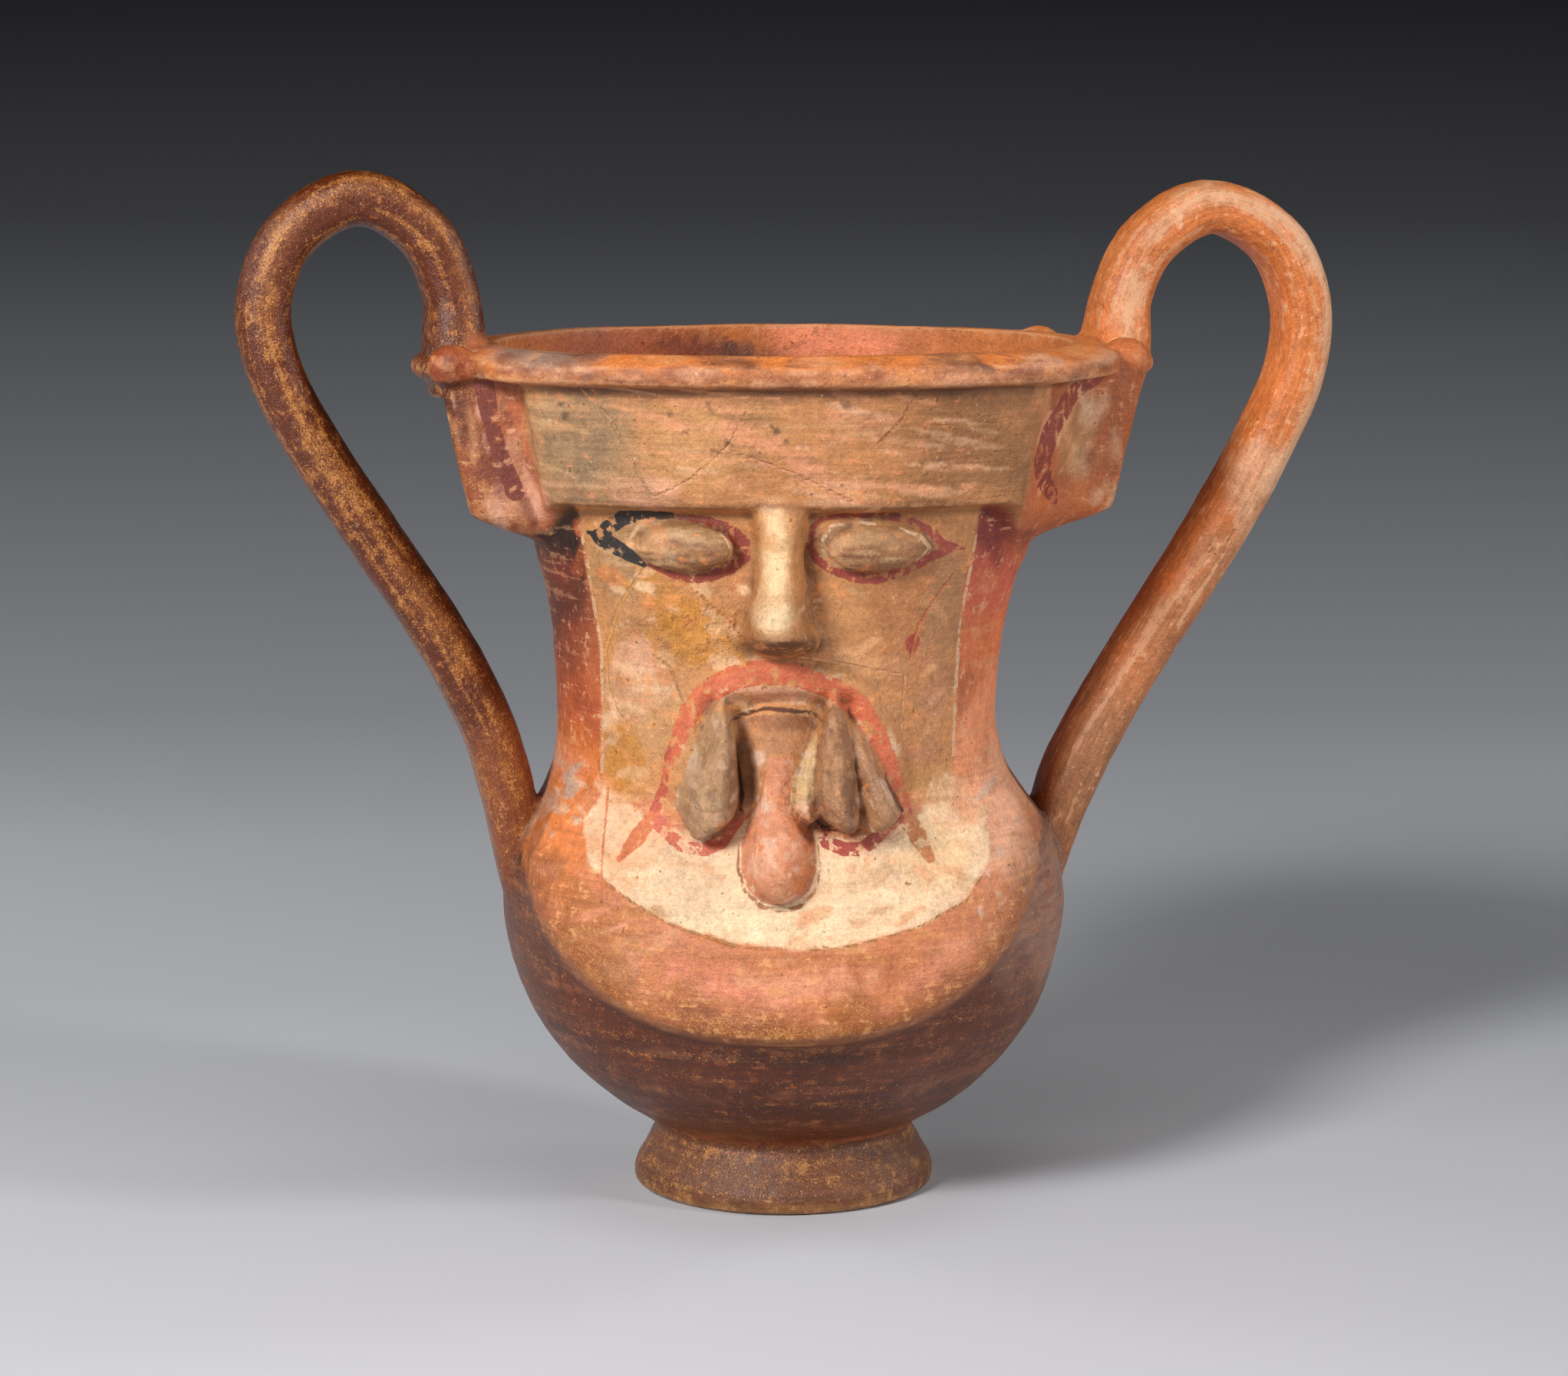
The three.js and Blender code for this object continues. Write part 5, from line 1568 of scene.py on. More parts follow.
class Painter:
    """Lays the slips, washes, strokes and wear on the clay as attributes that the finish reads."""

    ridge_edge: Pair = (11.0, 1.5)
    ridge_top: Pair = (106.0, 84.0)
    # The band along the beard's lower ridge: its dark golden slip, and painted shade where the ridge turns
    # under.
    ridge_colour: str = "8a4a20"
    ridge_strength: float = 0.62
    tail_edge: Pair = (0.45, 0.8)
    tail_ragged: float = 0.12
    tail_colour: str = "9a6844"
    tail_strength: float = 0.7
    flow_shrink: float = 0.06
    bar_stretch: float = 20.0
    bar_start: float = 300.0

    def __init__(self, cup: Piece) -> None:
        """Takes the cup, reads its surface and draws the noises that make its edges ragged."""
        self.cup = cup
        self.skin = Skin(cup)
        skin = self.skin
        self.rough = skin.cloud.cloud(skin.points, 9.0, 4)
        self.patchy = skin.cloud.cloud(skin.points + 90, 14.0, 3)
        inward = WALL.beard.inside(skin.x, skin.z) + 3.0 * self.rough
        ridge = smooth(*self.ridge_edge, inward) * smooth(*self.ridge_top, skin.z)
        self.ridge = skin.zones[Zone.BEARD] * ridge
        self.left_band = LEFT_BAND.share(skin, self.rough)
        self.right_band = RIGHT_BAND.share(skin, self.rough)

    def paint(self) -> None:
        """Writes every attribute."""
        self.paint_ground()
        self.paint_lines()
        self.paint_wear()
        self.write_flow()

    def paint_ground(self) -> None:
        """Lays the slips, then the washes and small marks, then the bands on the beard and handles."""
        skin, rough = self.skin, self.rough
        colour = np.zeros((len(skin.z), 3))
        under = np.zeros((len(skin.z), 3))
        worn = np.zeros(len(skin.z))
        for zone, slip in GROUND.items():
            share = skin.zones[zone]
            colour = self.lay(colour, slip.colour, share)
            under = self.lay(under, slip.under, share)
            worn = lerp(worn, slip.worn, share)
        scattered = [mark for scatter in SCATTERS for mark in scatter.marks()]
        for wash in (*WASHES, *scattered):
            colour = self.lay(colour, wash.colour, wash.share(skin.points, rough) * skin.zones[wash.zone])
        # The beard's lower ridge darkened: its dark slip, and painted shade where the ridge turns under.
        colour = self.lay(colour, self.ridge_colour, self.ridge_strength * self.ridge)
        colour = self.lay(colour, LEFT_BAND.colour, LEFT_BAND.strength * self.left_band)
        colour = self.lay(colour, RIGHT_BAND.colour, RIGHT_BAND.strength * self.right_band)
        along = skin.bars[Zone.RIGHT_HANDLE][0]
        tail = skin.zones[Zone.RIGHT_HANDLE] * smooth(*self.tail_edge, along + self.tail_ragged * rough)
        colour = self.lay(colour, self.tail_colour, self.tail_strength * tail)
        self.write_colour("wash", colour)
        self.write_colour("under", under)
        self.write("worn", worn + 0.25 * self.patchy)

    def paint_lines(self) -> None:
        """Writes the brush strokes, the cracks with the dark lines of painted shade in the mouth's gaps and
        along the cream's edge, and the patches with a clear edge.
        """
        front = self.skin.facing * (1.0 - self.skin.zones[Zone.INSIDE])
        marks = [mark for scatter in PATCH_SCATTERS for mark in scatter.marks()]
        self.write_strokes("stroke", EYE_STROKES + EYE_RIMS + LIP_STROKES + NICHE_STROKES, front)
        self.write_strokes("crack_and_shade", CRACKS_AND_SHADE_LINES, front)
        self.write_strokes("patch", PATCHES, front, (*PATCH_WASHES, *marks))

    def paint_wear(self) -> None:
        """Writes where the paint is specked, streaked, brushed, polished, flaking and rubbed."""
        skin, zones = self.skin, self.skin.zones
        fin = zones[Zone.BLOCK] * smooth(-66, -74, skin.x)
        beard = zones[Zone.BEARD] * smooth(92.0, 70.0, skin.z - 0.2 * skin.x)
        gold = 0.15 + 0.3 * self.ridge + 0.35 * beard + 0.5 * fin + 0.35 * self.left_band
        self.write("speckle", gold + self.weigh(SPECKLE))
        self.write("streaks", 0.4 * self.right_band * zones[Zone.RIGHT_HANDLE] + self.weigh(STREAKS))
        self.write("brushed", self.weigh(BRUSHED))
        tongue, fold, mouth = (place.holds(skin) for place in (TONGUE_PLACE, FOLD_PLACE, MOUTH_PLACE))
        self.write("polish", 0.5 * tongue + fold + self.weigh(POLISH))
        flake = zones[Zone.FACE] * smooth(1.3, 0.6, np.hypot((skin.x + 20) / 15, (skin.z - 146) / 9))
        flake += 0.45 * mouth * (1 - tongue) * (1 - fold)
        self.write("flake", flake + 0.5 * zones[Zone.CREAM] * smooth(0.2, 0.8, self.patchy))
        self.write("rub", 1.0 - 0.8 * mouth - 0.7 * zones[Zone.LIP] * smooth(207, 209, skin.z))

    @staticmethod
    def lay(under: Array, code: str, share: Array) -> Array:
        """Lays a paint over the colours that are there, by its share at each corner."""
        return lerp(under, pigment(code), share[:, None])

    def weigh(self, weights: dict[Zone, float]) -> Array:
        """Adds up the surfaces' shares, each with its weight."""
        return sum(weight * self.skin.zones[zone] for zone, weight in weights.items())

    def write(self, name: str, values: Array) -> None:
        """Writes one number a corner, held between 0 and 1."""
        Bench.write(self.cup, name, np.clip(values, 0.0, 1.0))

    def write_colour(self, name: str, colour: Array) -> None:
        """Writes one colour a corner."""
        Bench.write(self.cup, name, np.concatenate([colour, np.ones((len(colour), 1))], axis=1))

    def write_strokes(
        self, name: str, strokes: Sequence[Stroke | Patch], front: Array, marks: Sequence[Wash] = ()
    ) -> None:
        """Writes the distance to the nearest stroke or patch, and its colour.

        Args:
            name: The distance's name. The colour's name adds _colour.
            strokes: The strokes or patches.
            front: Share of each corner that faces the front.
            marks: Washes over the strokes' colours.
        """
        skin = self.skin
        reach = np.full(skin.z.shape, FAR)
        colour = np.tile(pigment(strokes[0].colour), (len(skin.z), 1))
        seen = np.flatnonzero((front > 0.01) & (skin.z > LOWEST_STROKE))
        for stroke in strokes:
            distance = stroke.distance(skin.x[seen], skin.z[seen])
            closer = distance < reach[seen]
            reach[seen[closer]] = distance[closer]
            colour[seen[closer]] = pigment(stroke.colour)
        for mark in marks:
            colour = self.lay(colour, mark.colour, mark.share(skin.points, self.rough))
        Bench.write(self.cup, name, lerp(FAR, reach, front))
        self.write_colour(name + "_colour", colour)

    def write_flow(self) -> None:
        """Writes coordinates that run long round the body and along the handles, for the brush marks."""
        skin = self.skin
        flow = np.stack([skin.x * self.flow_shrink, skin.y * self.flow_shrink, skin.z], axis=1)
        for zone, handle in HANDLES.items():
            along, out, _ = skin.bars[zone]
            reach = along * self.bar_stretch + self.bar_start
            bar = np.stack([reach, out * handle.thick / 2, handle.across(skin.points)], axis=1)
            on = skin.zones[zone] > 0.5
            flow[on] = bar[on]
        Bench.write(self.cup, "flow", flow)


class Board:
    """A node tree being wired: each call adds one node and returns its output."""

    def __init__(self, tree: bpy.types.NodeTree) -> None:
        """Takes the tree."""
        self.tree = tree

    def node(self, kind: str, **settings: object) -> bpy.types.Node:
        """Adds a node and sets its own settings."""
        made = self.tree.nodes.new(kind)
        for name, value in settings.items():
            setattr(made, name, value)
        return made

    def feed(self, socket: Socket, value: object) -> None:
        """Links an output to a socket, or sets the socket's own value."""
        if isinstance(value, Socket):
            self.tree.links.new(value, socket)
        else:
            socket.default_value = value

    def math(self, operation: str, *values: object, clamp: bool = False) -> Socket:
        """A sum, product or other operation on numbers."""
        made = self.node("ShaderNodeMath", operation=operation, use_clamp=clamp)
        for socket, value in zip(made.inputs, values):
            self.feed(socket, value)
        return made.outputs[0]

    def blend(self, share: object, under: object, over: object, mode: str = "MIX") -> Socket:
        """Mixes two colours."""
        made = self.node("ShaderNodeMix", data_type="RGBA", blend_type=mode)
        for socket, value in ((made.inputs[0], share), (made.inputs[6], under), (made.inputs[7], over)):
            self.feed(socket, value)
        return made.outputs[2]

    def between(self, share: object, low: object, high: object) -> Socket:
        """Mixes two numbers."""
        made = self.node("ShaderNodeMix", data_type="FLOAT")
        for socket, value in zip(made.inputs[:1] + made.inputs[2:4], (share, low, high)):
            self.feed(socket, value)
        return made.outputs[0]

    def step(self, value: object, low: object, high: object) -> Socket:
        """Rises softly from 0 at low to 1 at high."""
        made = self.node("ShaderNodeMapRange", interpolation_type="SMOOTHSTEP")
        for socket, number in zip(made.inputs[:3], (value, low, high)):
            self.feed(socket, number)
        return made.outputs[0]

    def noise(self, place: object, scale: float, detail: float = 3.0, rough: float = 0.55) -> Socket:
        """Cloudy noise from 0 to 1."""
        made = self.node("ShaderNodeTexNoise")
        self.feed(made.inputs["Vector"], place)
        made.inputs["Scale"].default_value = scale
        made.inputs["Detail"].default_value = detail
        made.inputs["Roughness"].default_value = rough
        return made.outputs["Fac"]

    def attribute(self, name: str, output: str = "Fac") -> Socket:
        """One of the painted attributes, as a number, or as its Color or Vector."""
        made = self.node("ShaderNodeAttribute", attribute_name=name, attribute_type="GEOMETRY")
        return made.outputs[output]

    def total(self, *terms: object) -> Socket:
        """Adds up numbers, two or more."""
        made = terms[0]
        for term in terms[1:]:
            made = self.math("ADD", made, term)
        return made

    def product(self, value: object, other: object) -> Socket:
        """Multiplies two numbers."""
        return self.math("MULTIPLY", value, other)


def new_group(name: str, takes: Sequence[tuple[str, str]], gives: Sequence[tuple[str, str]]) -> tuple:
    """Starts a shader node group.

    Args:
        name: The group's name.
        takes: Names and kinds of its inputs, such as ("Mask", "Float").
        gives: The same for its outputs.

    Returns:
        The group, a board on it, its inputs by name, and its output node.
    """
    group = bpy.data.node_groups.new(name, "ShaderNodeTree")
    for direction, sockets in (("INPUT", takes), ("OUTPUT", gives)):
        for label, kind in sockets:
            group.interface.new_socket(label, in_out=direction, socket_type=f"NodeSocket{kind}")
    board = Board(group)
    inputs = board.node("NodeGroupInput").outputs
    return group, board, {label: inputs[label] for label, _ in takes}, board.node("NodeGroupOutput")


def coat_group() -> bpy.types.NodeTree:
    """A layer of paint with a ragged, softly chipped edge."""
    group, board, takes, out = new_group(
        "Coat",
        (
            ("Color", "Color"), ("Roughness", "Float"), ("Height", "Float"), ("Reach", "Float"),
            ("Ragged", "Float"), ("Softness", "Float"), ("Rub", "Float"), ("Coat Color", "Color"),
            ("Coat Roughness", "Float"), ("Coat Height", "Float"),
        ),
        (("Color", "Color"), ("Roughness", "Float"), ("Height", "Float"), ("Mask", "Float")),
    )
    reach = board.math("ADD", takes["Reach"], takes["Ragged"])
    cover = board.step(reach, takes["Softness"], board.product(takes["Softness"], -1.0))
    cover = board.product(cover, board.math("SUBTRACT", 1.0, takes["Rub"], clamp=True))
    board.feed(out.inputs["Color"], board.blend(cover, takes["Color"], takes["Coat Color"]))
    board.feed(out.inputs["Roughness"], board.between(cover, takes["Roughness"], takes["Coat Roughness"]))
    added = board.product(cover, takes["Coat Height"])
    board.feed(out.inputs["Height"], board.math("ADD", takes["Height"], added))
    board.feed(out.inputs["Mask"], cover)
    return group


def fleck_group() -> bpy.types.NodeTree:
    """Scattered flecks of another colour, thicker where the mask is strong."""
    group, board, takes, out = new_group(
        "Flecks",
        (
            ("Color", "Color"), ("Fleck Color", "Color"), ("Fine", "Float"), ("Broad", "Float"),
            ("Mask", "Float"), ("Threshold", "Float"), ("Strength", "Float"),
        ),
        (("Color", "Color"), ("Mask", "Float")),
    )
    level = board.math("ADD", takes["Fine"], board.product(board.math("SUBTRACT", takes["Broad"], 0.5), 0.5))
    level = board.math("ADD", level, board.product(board.math("SUBTRACT", takes["Mask"], 0.5), 0.2))
    cover = board.step(level, takes["Threshold"], board.math("ADD", takes["Threshold"], 0.035))
    cover = board.product(cover, takes["Strength"])
    board.feed(out.inputs["Color"], board.blend(cover, takes["Color"], takes["Fleck Color"]))
    board.feed(out.inputs["Mask"], cover)
    return group


@dataclass(frozen=True)
class Coat:
    """One painted layer: the attribute that places it, and how its paint looks."""

    attribute: str
    softness: float
    ragged: float
    rubbed: float
    roughness: float
    height: float


COATS = (
    Coat("patch", softness=0.2, ragged=0.8, rubbed=0.25, roughness=0.72, height=0.06),
    Coat("stroke", softness=0.15, ragged=1.1, rubbed=0.64, roughness=0.6, height=0.06),
    # The cracks share their layer with the dark lines of painted shade in gaps and recesses.
    Coat("crack_and_shade", softness=0.2, ragged=0.7, rubbed=0.1, roughness=0.8, height=-0.3),
)


class Finish:
    """The fired and painted clay."""

    def __init__(self) -> None:
        """Makes the material and its shared noises."""
        self.material = bpy.data.materials.new("painted_terracotta")
        self.material.use_nodes = True
        self.tree = self.material.node_tree
        self.board = Board(self.tree)
        self.place = self.board.node("ShaderNodeTexCoord").outputs["Object"]
        self.flow = self.board.attribute("flow", "Vector")
        self.grit = self.board.noise(self.place, 2600.0, 2.0)
        self.fine = self.board.noise(self.place, 900.0, 4.0, 0.6)
        self.chips = self.board.noise(self.place, 330.0, 5.0, 0.62)
        self.broad = self.board.noise(self.place, 70.0, 4.0)
        self.pits = self.board.noise(self.place, 560.0, 1.0)
        self.streak = self.board.noise(self.flow, 1.1, 5.0, 0.65)
        self.grain = self.board.noise(self.flow, 0.4, 4.0, 0.6)
        self.flecks = fleck_group()

    def group(self, tree: bpy.types.NodeTree, **values: object) -> bpy.types.Node:
        """Places a shared effect and feeds its inputs, named with _ for a space."""
        made = self.board.node("ShaderNodeGroup", node_tree=tree)
        for name, value in values.items():
            self.board.feed(made.inputs[name.replace("_", " ")], value)
        return made

    def centred(self, noise: Socket, size: float) -> Socket:
        """A noise moved to run about 0, and made as large as asked."""
        return self.board.product(self.board.math("SUBTRACT", noise, 0.5), size)

    def shades(self, colour: Socket) -> Socket:
        """Lightens and darkens a colour with the clay's mottling and its fine wheel marks."""
        board = self.board
        brushed = board.math("MULTIPLY_ADD", board.attribute("brushed"), 0.9, 0.4)
        tone = board.total(
            board.product(self.centred(self.streak, 1.0), brushed), self.centred(self.chips, 0.8),
            self.centred(self.fine, 0.8), self.centred(self.grit, 0.8), self.centred(self.broad, 0.5),
        )
        grey = board.node("ShaderNodeCombineColor")
        for socket, weight in zip(grey.inputs, (0.95, 1.0, 1.1)):
            board.feed(socket, board.math("ADD", 1.0, board.product(tone, weight)))
        return board.blend(1.0, colour, grey.outputs[0], "MULTIPLY")

    def fleck(
        self, colour: object, paint: object, fine: object, broad: object, mask: object, level: float,
        strength: object,
    ) -> bpy.types.Node:
        """Scatters flecks over a colour.

        Args:
            colour: The colour under the flecks.
            paint: The flecks' own.
            fine: The noise that shapes them.
            broad: The noise that gathers them.
            mask: Where they lie thicker, from 0 to 1.
            level: Level of the noise above which they show.
            strength: How much they cover.

        Returns:
            The effect's node, with its Color and its Mask.
        """
        return self.group(
            self.flecks, Color=colour, Fleck_Color=paint, Fine=fine, Broad=broad, Mask=mask, Threshold=level,
            Strength=strength,
        )

    def dress(self, cup: Piece) -> None:
        """Wires the layers from the clay up and gives the cup the material."""
        board, chips = self.board, self.chips
        under, streaks = board.attribute("under", "Color"), board.attribute("streaks")
        wash = self.shades(board.attribute("wash", "Color"))
        bared = self.fleck(wash, self.shades(under), chips, self.streak, board.attribute("worn"), 0.58, 0.6)
        most = board.product(streaks, 0.8)
        layer = self.fleck(bared.outputs["Color"], under, self.grain, chips, streaks, 0.56, most)
        dust = board.total(self.grit, self.centred(self.grain, 0.5))
        for paint, fine, broad, mask, level, strength in (
            ("c98a46", dust, chips, board.attribute("speckle"), 0.64, 0.65),
            ("ecc9a4", self.fine, self.grit, 0.3, 0.67, 0.6),
            ("54301f", self.pits, chips, 0.3, 0.72, 0.55),
        ):
            layer = self.fleck(layer.outputs["Color"], opaque(paint), fine, broad, mask, level, strength)
        height = board.total(
            self.centred(self.grit, 0.16), self.centred(self.fine, 0.34), self.centred(self.streak, 0.08),
            self.centred(chips, 0.3), board.product(layer.outputs["Mask"], -0.15),
            board.product(bared.outputs["Mask"], -0.05),
            board.product(board.attribute("flake"), self.centred(chips, 2.4)),
        )
        roughness = board.total(0.52, self.centred(chips, 0.35))
        colour, roughness, height = self.lay_coats(layer.outputs["Color"], roughness, height)
        bend = board.attribute("bend")
        worn = board.step(board.total(bend, self.centred(chips, 0.5)), 0.16, 0.3)
        worn = board.product(worn, board.attribute("rub"))
        colour = board.blend(board.product(worn, 0.4), colour, opaque("d8a070"))
        # Darkens the hollows: painted shade in them, with dirt.
        hollow_shade_and_dirt = board.step(board.math("SUBTRACT", self.centred(self.fine, 0.15), bend), 0.08, 0.4)
        colour = board.blend(board.product(hollow_shade_and_dirt, 0.65), colour, opaque("4a2a1c"))
        bump = board.node("ShaderNodeBump")
        bump.inputs["Distance"].default_value = MM
        board.feed(bump.inputs["Height"], height)
        polish = board.product(board.attribute("polish"), 0.36)
        shader = self.tree.nodes["Principled BSDF"]
        board.feed(shader.inputs["Base Color"], colour)
        board.feed(shader.inputs["Roughness"], board.math("SUBTRACT", roughness, polish))
        board.feed(shader.inputs["Normal"], bump.outputs["Normal"])
        shader.inputs["Specular IOR Level"].default_value = 0.45
        cup.data.materials.append(self.material)

    def lay_coats(self, colour: object, roughness: object, height: object) -> list[Socket]:
        """Lays the painted coats over a colour, roughness and height, and returns all three."""
        board = self.board
        coats = coat_group()
        for coat in COATS:
            rub = board.step(self.chips, 0.66 - 0.2 * coat.rubbed, 0.7 - 0.2 * coat.rubbed)
            paint = self.shades(board.attribute(coat.attribute + "_colour", "Color"))
            layer = self.group(
                coats, Color=colour, Roughness=roughness, Height=height, Coat_Color=paint,
                Coat_Roughness=coat.roughness, Coat_Height=coat.height, Reach=board.attribute(coat.attribute),
                Ragged=self.centred(self.chips, coat.ragged), Softness=coat.softness,
                Rub=board.product(rub, 0.85),
            )
            colour, roughness, height = (layer.outputs[name] for name in ("Color", "Roughness", "Height"))
        return [colour, roughness, height]


@dataclass
class Cup:
    """The whole cup: its clay, its colours and its finish."""

    voxel: float = 0.85
    quick_voxel: float = 1.5
    most_triangles: int = 185000
    least_cover: float = 1.2
    set_in_top: float = 209.0
    give_factor: float = 0.05
    dents: Sequence[tuple[float, float]] = ((0.22, 24.0), (0.08, 6.0))
    wheel_marks: tuple[float, float, float] = (0.08, 3.0, 12.0)
    chip_depth: float = 0.35
    chip_size: float = 7.0
    features: Sequence[Feature] = (NOSE, LEFT_TUSK, RIGHT_TUSK, TUSK_FOLD, TUSK_CONE, TONGUE)

    def build(self) -> Piece:
        """Joins the clay into one skin and works its surface."""
        parts = [WALL.build()]
        LOG.info("wall: %d faces", len(parts[0].data.polygons))
        for maker in (LEFT_HANDLE, RIGHT_HANDLE, *SADDLES, *KNOBS, *EYES, *self.features):
            parts.append(maker.build())
            self.clear_hollow(parts[-1])
            LOG.info("%s: %d faces", parts[-1].name, len(parts[-1].data.polygons))
        cup = self.join(parts)
        voxel = self.voxel
        Bench.finish(cup, "REMESH", mode="VOXEL", voxel_size=voxel, adaptivity=0.0)
        Bench.finish(cup, "SMOOTH", factor=0.5, iterations=2)
        self.keep_body(cup)
        LOG.info("one skin: %d faces", len(cup.data.polygons))
        Bench.write(cup, "bend", np.clip(Bench.bend(cup), -1.0, 1.0))
        triangles = 2 * len(cup.data.polygons)
        if triangles > self.most_triangles:
            self.thin(cup, self.most_triangles / triangles)
        LOG.info("thinned: %d faces", len(cup.data.polygons))
        return cup

    @staticmethod
    def keep_body(cup: Piece) -> None:
        """Takes away any crumb of clay that the skin has left loose."""
        Bench.take(cup)
        bpy.ops.object.mode_set(mode="EDIT")
        bpy.ops.mesh.select_mode(type="VERT")
        bpy.ops.mesh.select_all(action="DESELECT")
        bpy.ops.object.mode_set(mode="OBJECT")
        cup.data.vertices[int(np.argmax(Bench.points(cup)[:, 2]))].select = True
        bpy.ops.object.mode_set(mode="EDIT")
        bpy.ops.mesh.select_linked()
        bpy.ops.mesh.select_all(action="INVERT")
        bpy.ops.mesh.delete(type="VERT")
        bpy.ops.object.mode_set(mode="OBJECT")

    def clear_hollow(self, part: Piece) -> None:
        """Keeps a part that is set into the wall from coming through to the inside."""
        points = Bench.points(part)
        angle, reach = around(points)
        least = WALL.inside_radius(angle, points[:, 2]) + self.least_cover
        inner = (reach < least) & (points[:, 2] < self.set_in_top)
        points[inner, :2] *= (least[inner] / np.maximum(reach[inner], 1.0))[:, None]
        Bench.place(part, points)

    def thin(self, cup: Piece, ratio: float) -> None:
        """Leaves the ratio of the faces given, most of them on the mask and fewest deep inside."""
        points = Bench.points(cup)
        angle, reach = around(points)
        z = points[:, 2]
        outside = (reach > WALL.inside_radius(angle, z) + 2.0) | (z > 208.0)
        mask = outside & (points[:, 1] < -20.0) & (z > 72.0) & (z < 206.0)
        deep = (~outside & (z < 185.0)) | ((reach < 30.0) & (z < 12.0))
        group = cup.vertex_groups.new(name="give")
        for chosen, share in ((outside & ~mask, 0.4), (mask, 0.0), (~outside, 0.5), (deep, 0.85)):
            group.add(np.flatnonzero(chosen).tolist(), share, "REPLACE")
        Bench.finish(cup, "DECIMATE", ratio=ratio, vertex_group="give", vertex_group_factor=self.give_factor)
        cup.vertex_groups.clear()

    @staticmethod
    def join(parts: Sequence[Piece]) -> Piece:
        """Puts the parts into one mesh."""
        bpy.ops.object.select_all(action="DESELECT")
        for part in parts:
            part.select_set(True)
        bpy.context.view_layer.objects.active = parts[0]
        bpy.ops.object.join()
        cup = bpy.context.object
        cup.name = "cup"
        return cup

    def weather(self, cup: Piece) -> None:
        """Gives the skin the slow dents, wheel marks and knocked edges of handwork and age."""
        points, normals = Bench.points(cup), Bench.normals(cup)
        cloud = Grain(9)
        z = points[:, 2]
        move = sum(depth * cloud.cloud(points, size, 2) for depth, size in self.dents)
        depth, size, stretch = self.wheel_marks
        move += depth * cloud.cloud(points, size, 2, (stretch, stretch, 1)) * smooth(212, 204, z)
        lip = smooth(201, 204, z) * smooth(213, 211, z)
        chips = smooth(0.55, 1.0, cloud.cloud(points, self.chip_size, 3))
        move -= self.chip_depth * chips * lip
        still = smooth(0.0, 2.0, z)
        Bench.place(cup, points + normals * (move * still)[:, None])

    @staticmethod
    def set_down(cup: Piece) -> None:
        """Turns the clay's own sizes into metres in the row's frame, and stands it on the ground."""
        points = Bench.points(cup)
        points[:, 2] -= points[:, 2].min()
        points[:, :2] += AXIS
        Bench.place(cup, points * MM)
        Bench.take(cup)
        bpy.ops.object.shade_smooth()


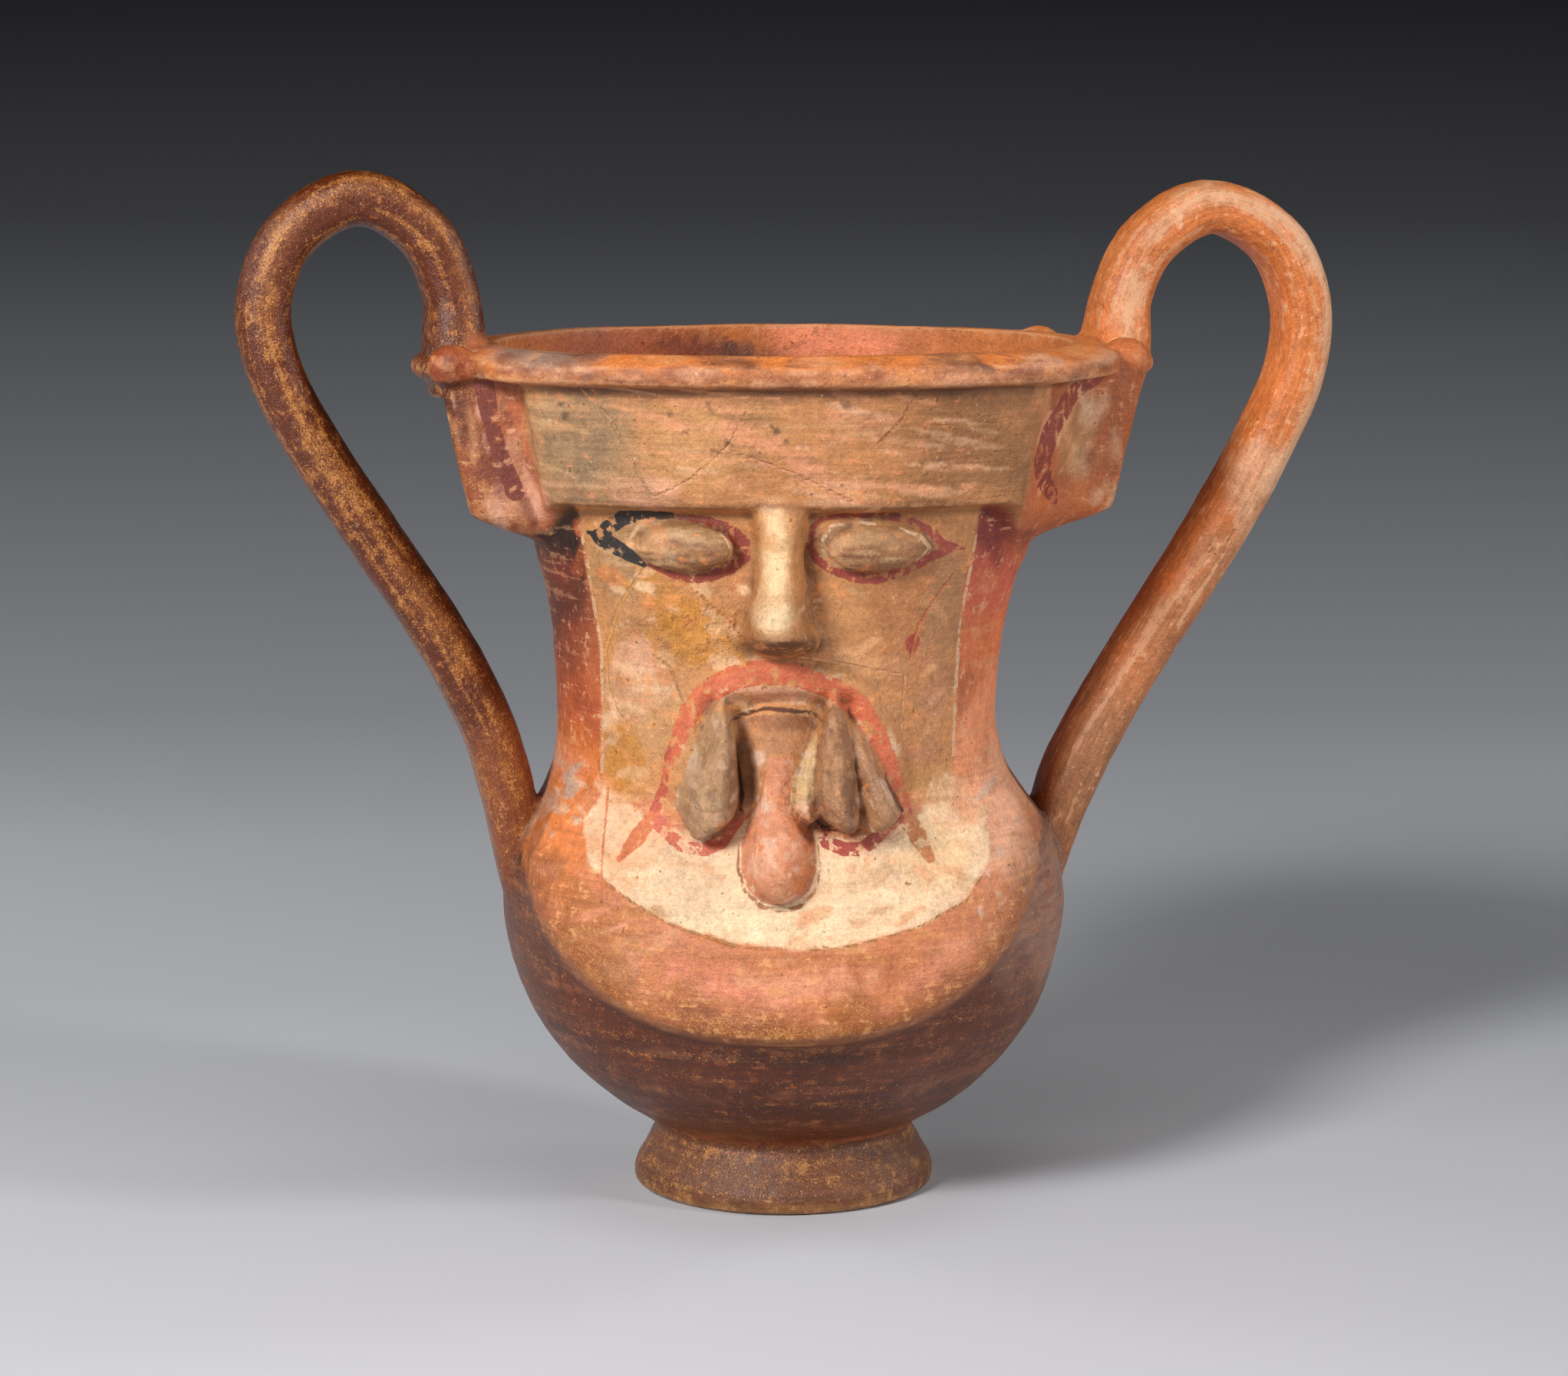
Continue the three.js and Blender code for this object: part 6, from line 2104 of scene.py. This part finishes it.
@dataclass
class Studio:
    """The floor, the lights and the camera."""

    distance: float = 1.0
    eye_height: float = 0.2705
    pitch: float = 8.29
    focal_pixels: float = 5310.0
    image_width: float = 2044.0
    sensor: float = 36.0
    sweep_radius: float = 1.0
    sweep_size: tuple[float, float, float] = (8.0, 3.6, 1.0)
    sweep_back: float = -1.0
    sweep_height: float = 2.0
    sweep_steps: int = 24
    room: float = 0.075
    room_colour: tuple[float, float, float, float] = (0.66, 0.65, 0.67, 1)
    lamp_aim: float = 0.13
    fill_place: tuple[float, float, float] = (1.5, -0.6, 0.6)
    fill_power: float = 52.0
    fill_aim: float = 0.14
    fill_angle: float = 19.0
    fill_blend: float = 0.5
    fill_size: float = 0.15
    lamps: Sequence[tuple[str, tuple[float, float, float], float, float]] = (
        ("key", (-0.8, -1.2, 0.9), 0.36, 27.5), ("top", (0.1, -0.5, 1.6), 0.8, 4.4),
        ("back_left", (-1.2, 0.5, 0.7), 0.4, 3.0), ("back_right", (1.1, 0.6, 0.8), 0.4, 3.0),
    )
    # The paper's colours by distance back, pale to charcoal: painted shade of the lamps' light falling off
    # behind the cup.
    shades: Sequence[tuple[float, str]] = (
        (-0.3, "d4d4d8"), (1.95, "1c1c1d"), (-0.16, "cfcfd3"), (0.03, "bfc0c4"), (0.21, "b3b5b9"),
        (0.46, "bbbdc2"), (0.85, "b0b2b8"), (1.28, "828488"), (1.6, "4e4f53"),
    )

    def camera(self) -> None:
        """Stands the camera where the photograph was taken from."""
        bpy.ops.object.camera_add(
            location=(AXIS[0] * MM, AXIS[1] * MM - self.distance, self.eye_height),
            rotation=(math.radians(90 - self.pitch), 0, 0),
        )
        camera = bpy.context.object
        camera.data.sensor_width = self.sensor
        camera.data.sensor_fit = "HORIZONTAL"
        camera.data.lens = self.focal_pixels / self.image_width * self.sensor
        bpy.context.scene.camera = camera

    def floor(self) -> None:
        """Lays a pale sweep that curves up behind the cup and darkens with its distance, a painted shade of
        the lamps' light falling off.
        """
        bpy.ops.object.select_all(action="DESELECT")
        bpy.ops.mesh.primitive_plane_add(size=1.0, location=(0, 0, 0))
        sweep = bpy.context.object
        sweep.name = "floor"
        Bench.open()
        bpy.ops.transform.resize(value=self.sweep_size, center_override=(0, 0, 0))
        bpy.ops.transform.translate(value=(0, self.sweep_back, 0))
        bpy.ops.mesh.select_all(action="DESELECT")
        bpy.ops.object.mode_set(mode="OBJECT")
        for edge in sweep.data.edges:
            edge.select = all(sweep.data.vertices[i].co.y > 0.5 for i in edge.vertices)
        bpy.ops.object.mode_set(mode="EDIT")
        bpy.ops.mesh.select_mode(type="EDGE")
        length = self.sweep_radius * math.radians(90.0 / self.sweep_steps)
        for i in range(self.sweep_steps):
            turn = math.radians(90.0 * (i + 0.5) / self.sweep_steps)
            step = (0, length * math.cos(turn), length * math.sin(turn))
            bpy.ops.mesh.extrude_region_move(TRANSFORM_OT_translate={"value": step})
        bpy.ops.mesh.extrude_region_move(TRANSFORM_OT_translate={"value": (0, 0, self.sweep_height)})
        bpy.ops.object.mode_set(mode="OBJECT")
        bpy.ops.object.shade_smooth()
        sweep.data.materials.append(self.paper())

    def paper(self) -> bpy.types.Material:
        """The sweep's paper, pale in front and painted darker to charcoal far behind: painted shade of the
        light falling off.
        """
        material = bpy.data.materials.new("paper")
        material.use_nodes = True
        board = Board(material.node_tree)
        place = board.node("ShaderNodeSeparateXYZ")
        board.feed(place.inputs[0], board.node("ShaderNodeTexCoord").outputs["Object"])
        back = board.math("ADD", place.outputs["Y"], place.outputs["Z"])
        low, high = self.shades[0][0], self.shades[1][0]
        ramp = board.node("ShaderNodeValToRGB")
        board.feed(ramp.inputs[0], board.math("DIVIDE", board.math("SUBTRACT", back, low), high - low))
        for i, (place_back, code) in enumerate(self.shades):
            at = (place_back - low) / (high - low)
            stop = ramp.color_ramp.elements[i] if i < 2 else ramp.color_ramp.elements.new(at)
            stop.position = at
            stop.color = opaque(code)
        shader = material.node_tree.nodes["Principled BSDF"]
        board.feed(shader.inputs["Base Color"], ramp.outputs[0])
        shader.inputs["Roughness"].default_value = 0.95
        shader.inputs["Specular IOR Level"].default_value = 0.1
        return material

    def light(self) -> None:
        """Hangs the lamps and a dim room round them, and shows the colours as they are."""
        for lamp_name, place, size, power in self.lamps:
            bpy.ops.object.light_add(type="AREA", location=place)
            lamp = bpy.context.object
            lamp.name = lamp_name
            lamp.data.size = size
            lamp.data.energy = power
            self.aim(lamp, self.lamp_aim)
        bpy.ops.object.light_add(type="SPOT", location=self.fill_place)
        fill = bpy.context.object
        fill.name = "fill"
        fill.data.spot_size = math.radians(self.fill_angle)
        fill.data.spot_blend = self.fill_blend
        fill.data.shadow_soft_size = self.fill_size
        fill.data.energy = self.fill_power
        self.aim(fill, self.fill_aim)
        world = bpy.data.worlds.new("room")
        world.use_nodes = True
        background = world.node_tree.nodes["Background"]
        background.inputs["Color"].default_value = self.room_colour
        background.inputs["Strength"].default_value = self.room
        bpy.context.scene.world = world
        bpy.context.scene.view_settings.view_transform = "Standard"

    @staticmethod
    def aim(lamp: Piece, height: float) -> None:
        """Turns a lamp to a height on the frame's upright axis."""
        lamp.rotation_euler = (Vector((0, 0, height)) - lamp.location).to_track_quat("-Z", "Y").to_euler()


def main() -> None:
    """Builds the cup and its studio."""
    logging.basicConfig(level=logging.INFO, format="%(name)s %(message)s")
    maker = Cup()
    cup = maker.build()
    maker.weather(cup)
    Painter(cup).paint()
    LOG.info("painted")
    maker.set_down(cup)
    Finish().dress(cup)
    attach(cup, "root")
    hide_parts("kantharos")
    studio = Studio()
    studio.floor()
    studio.light()
    studio.camera()


if __name__ == "__main__":
    main()
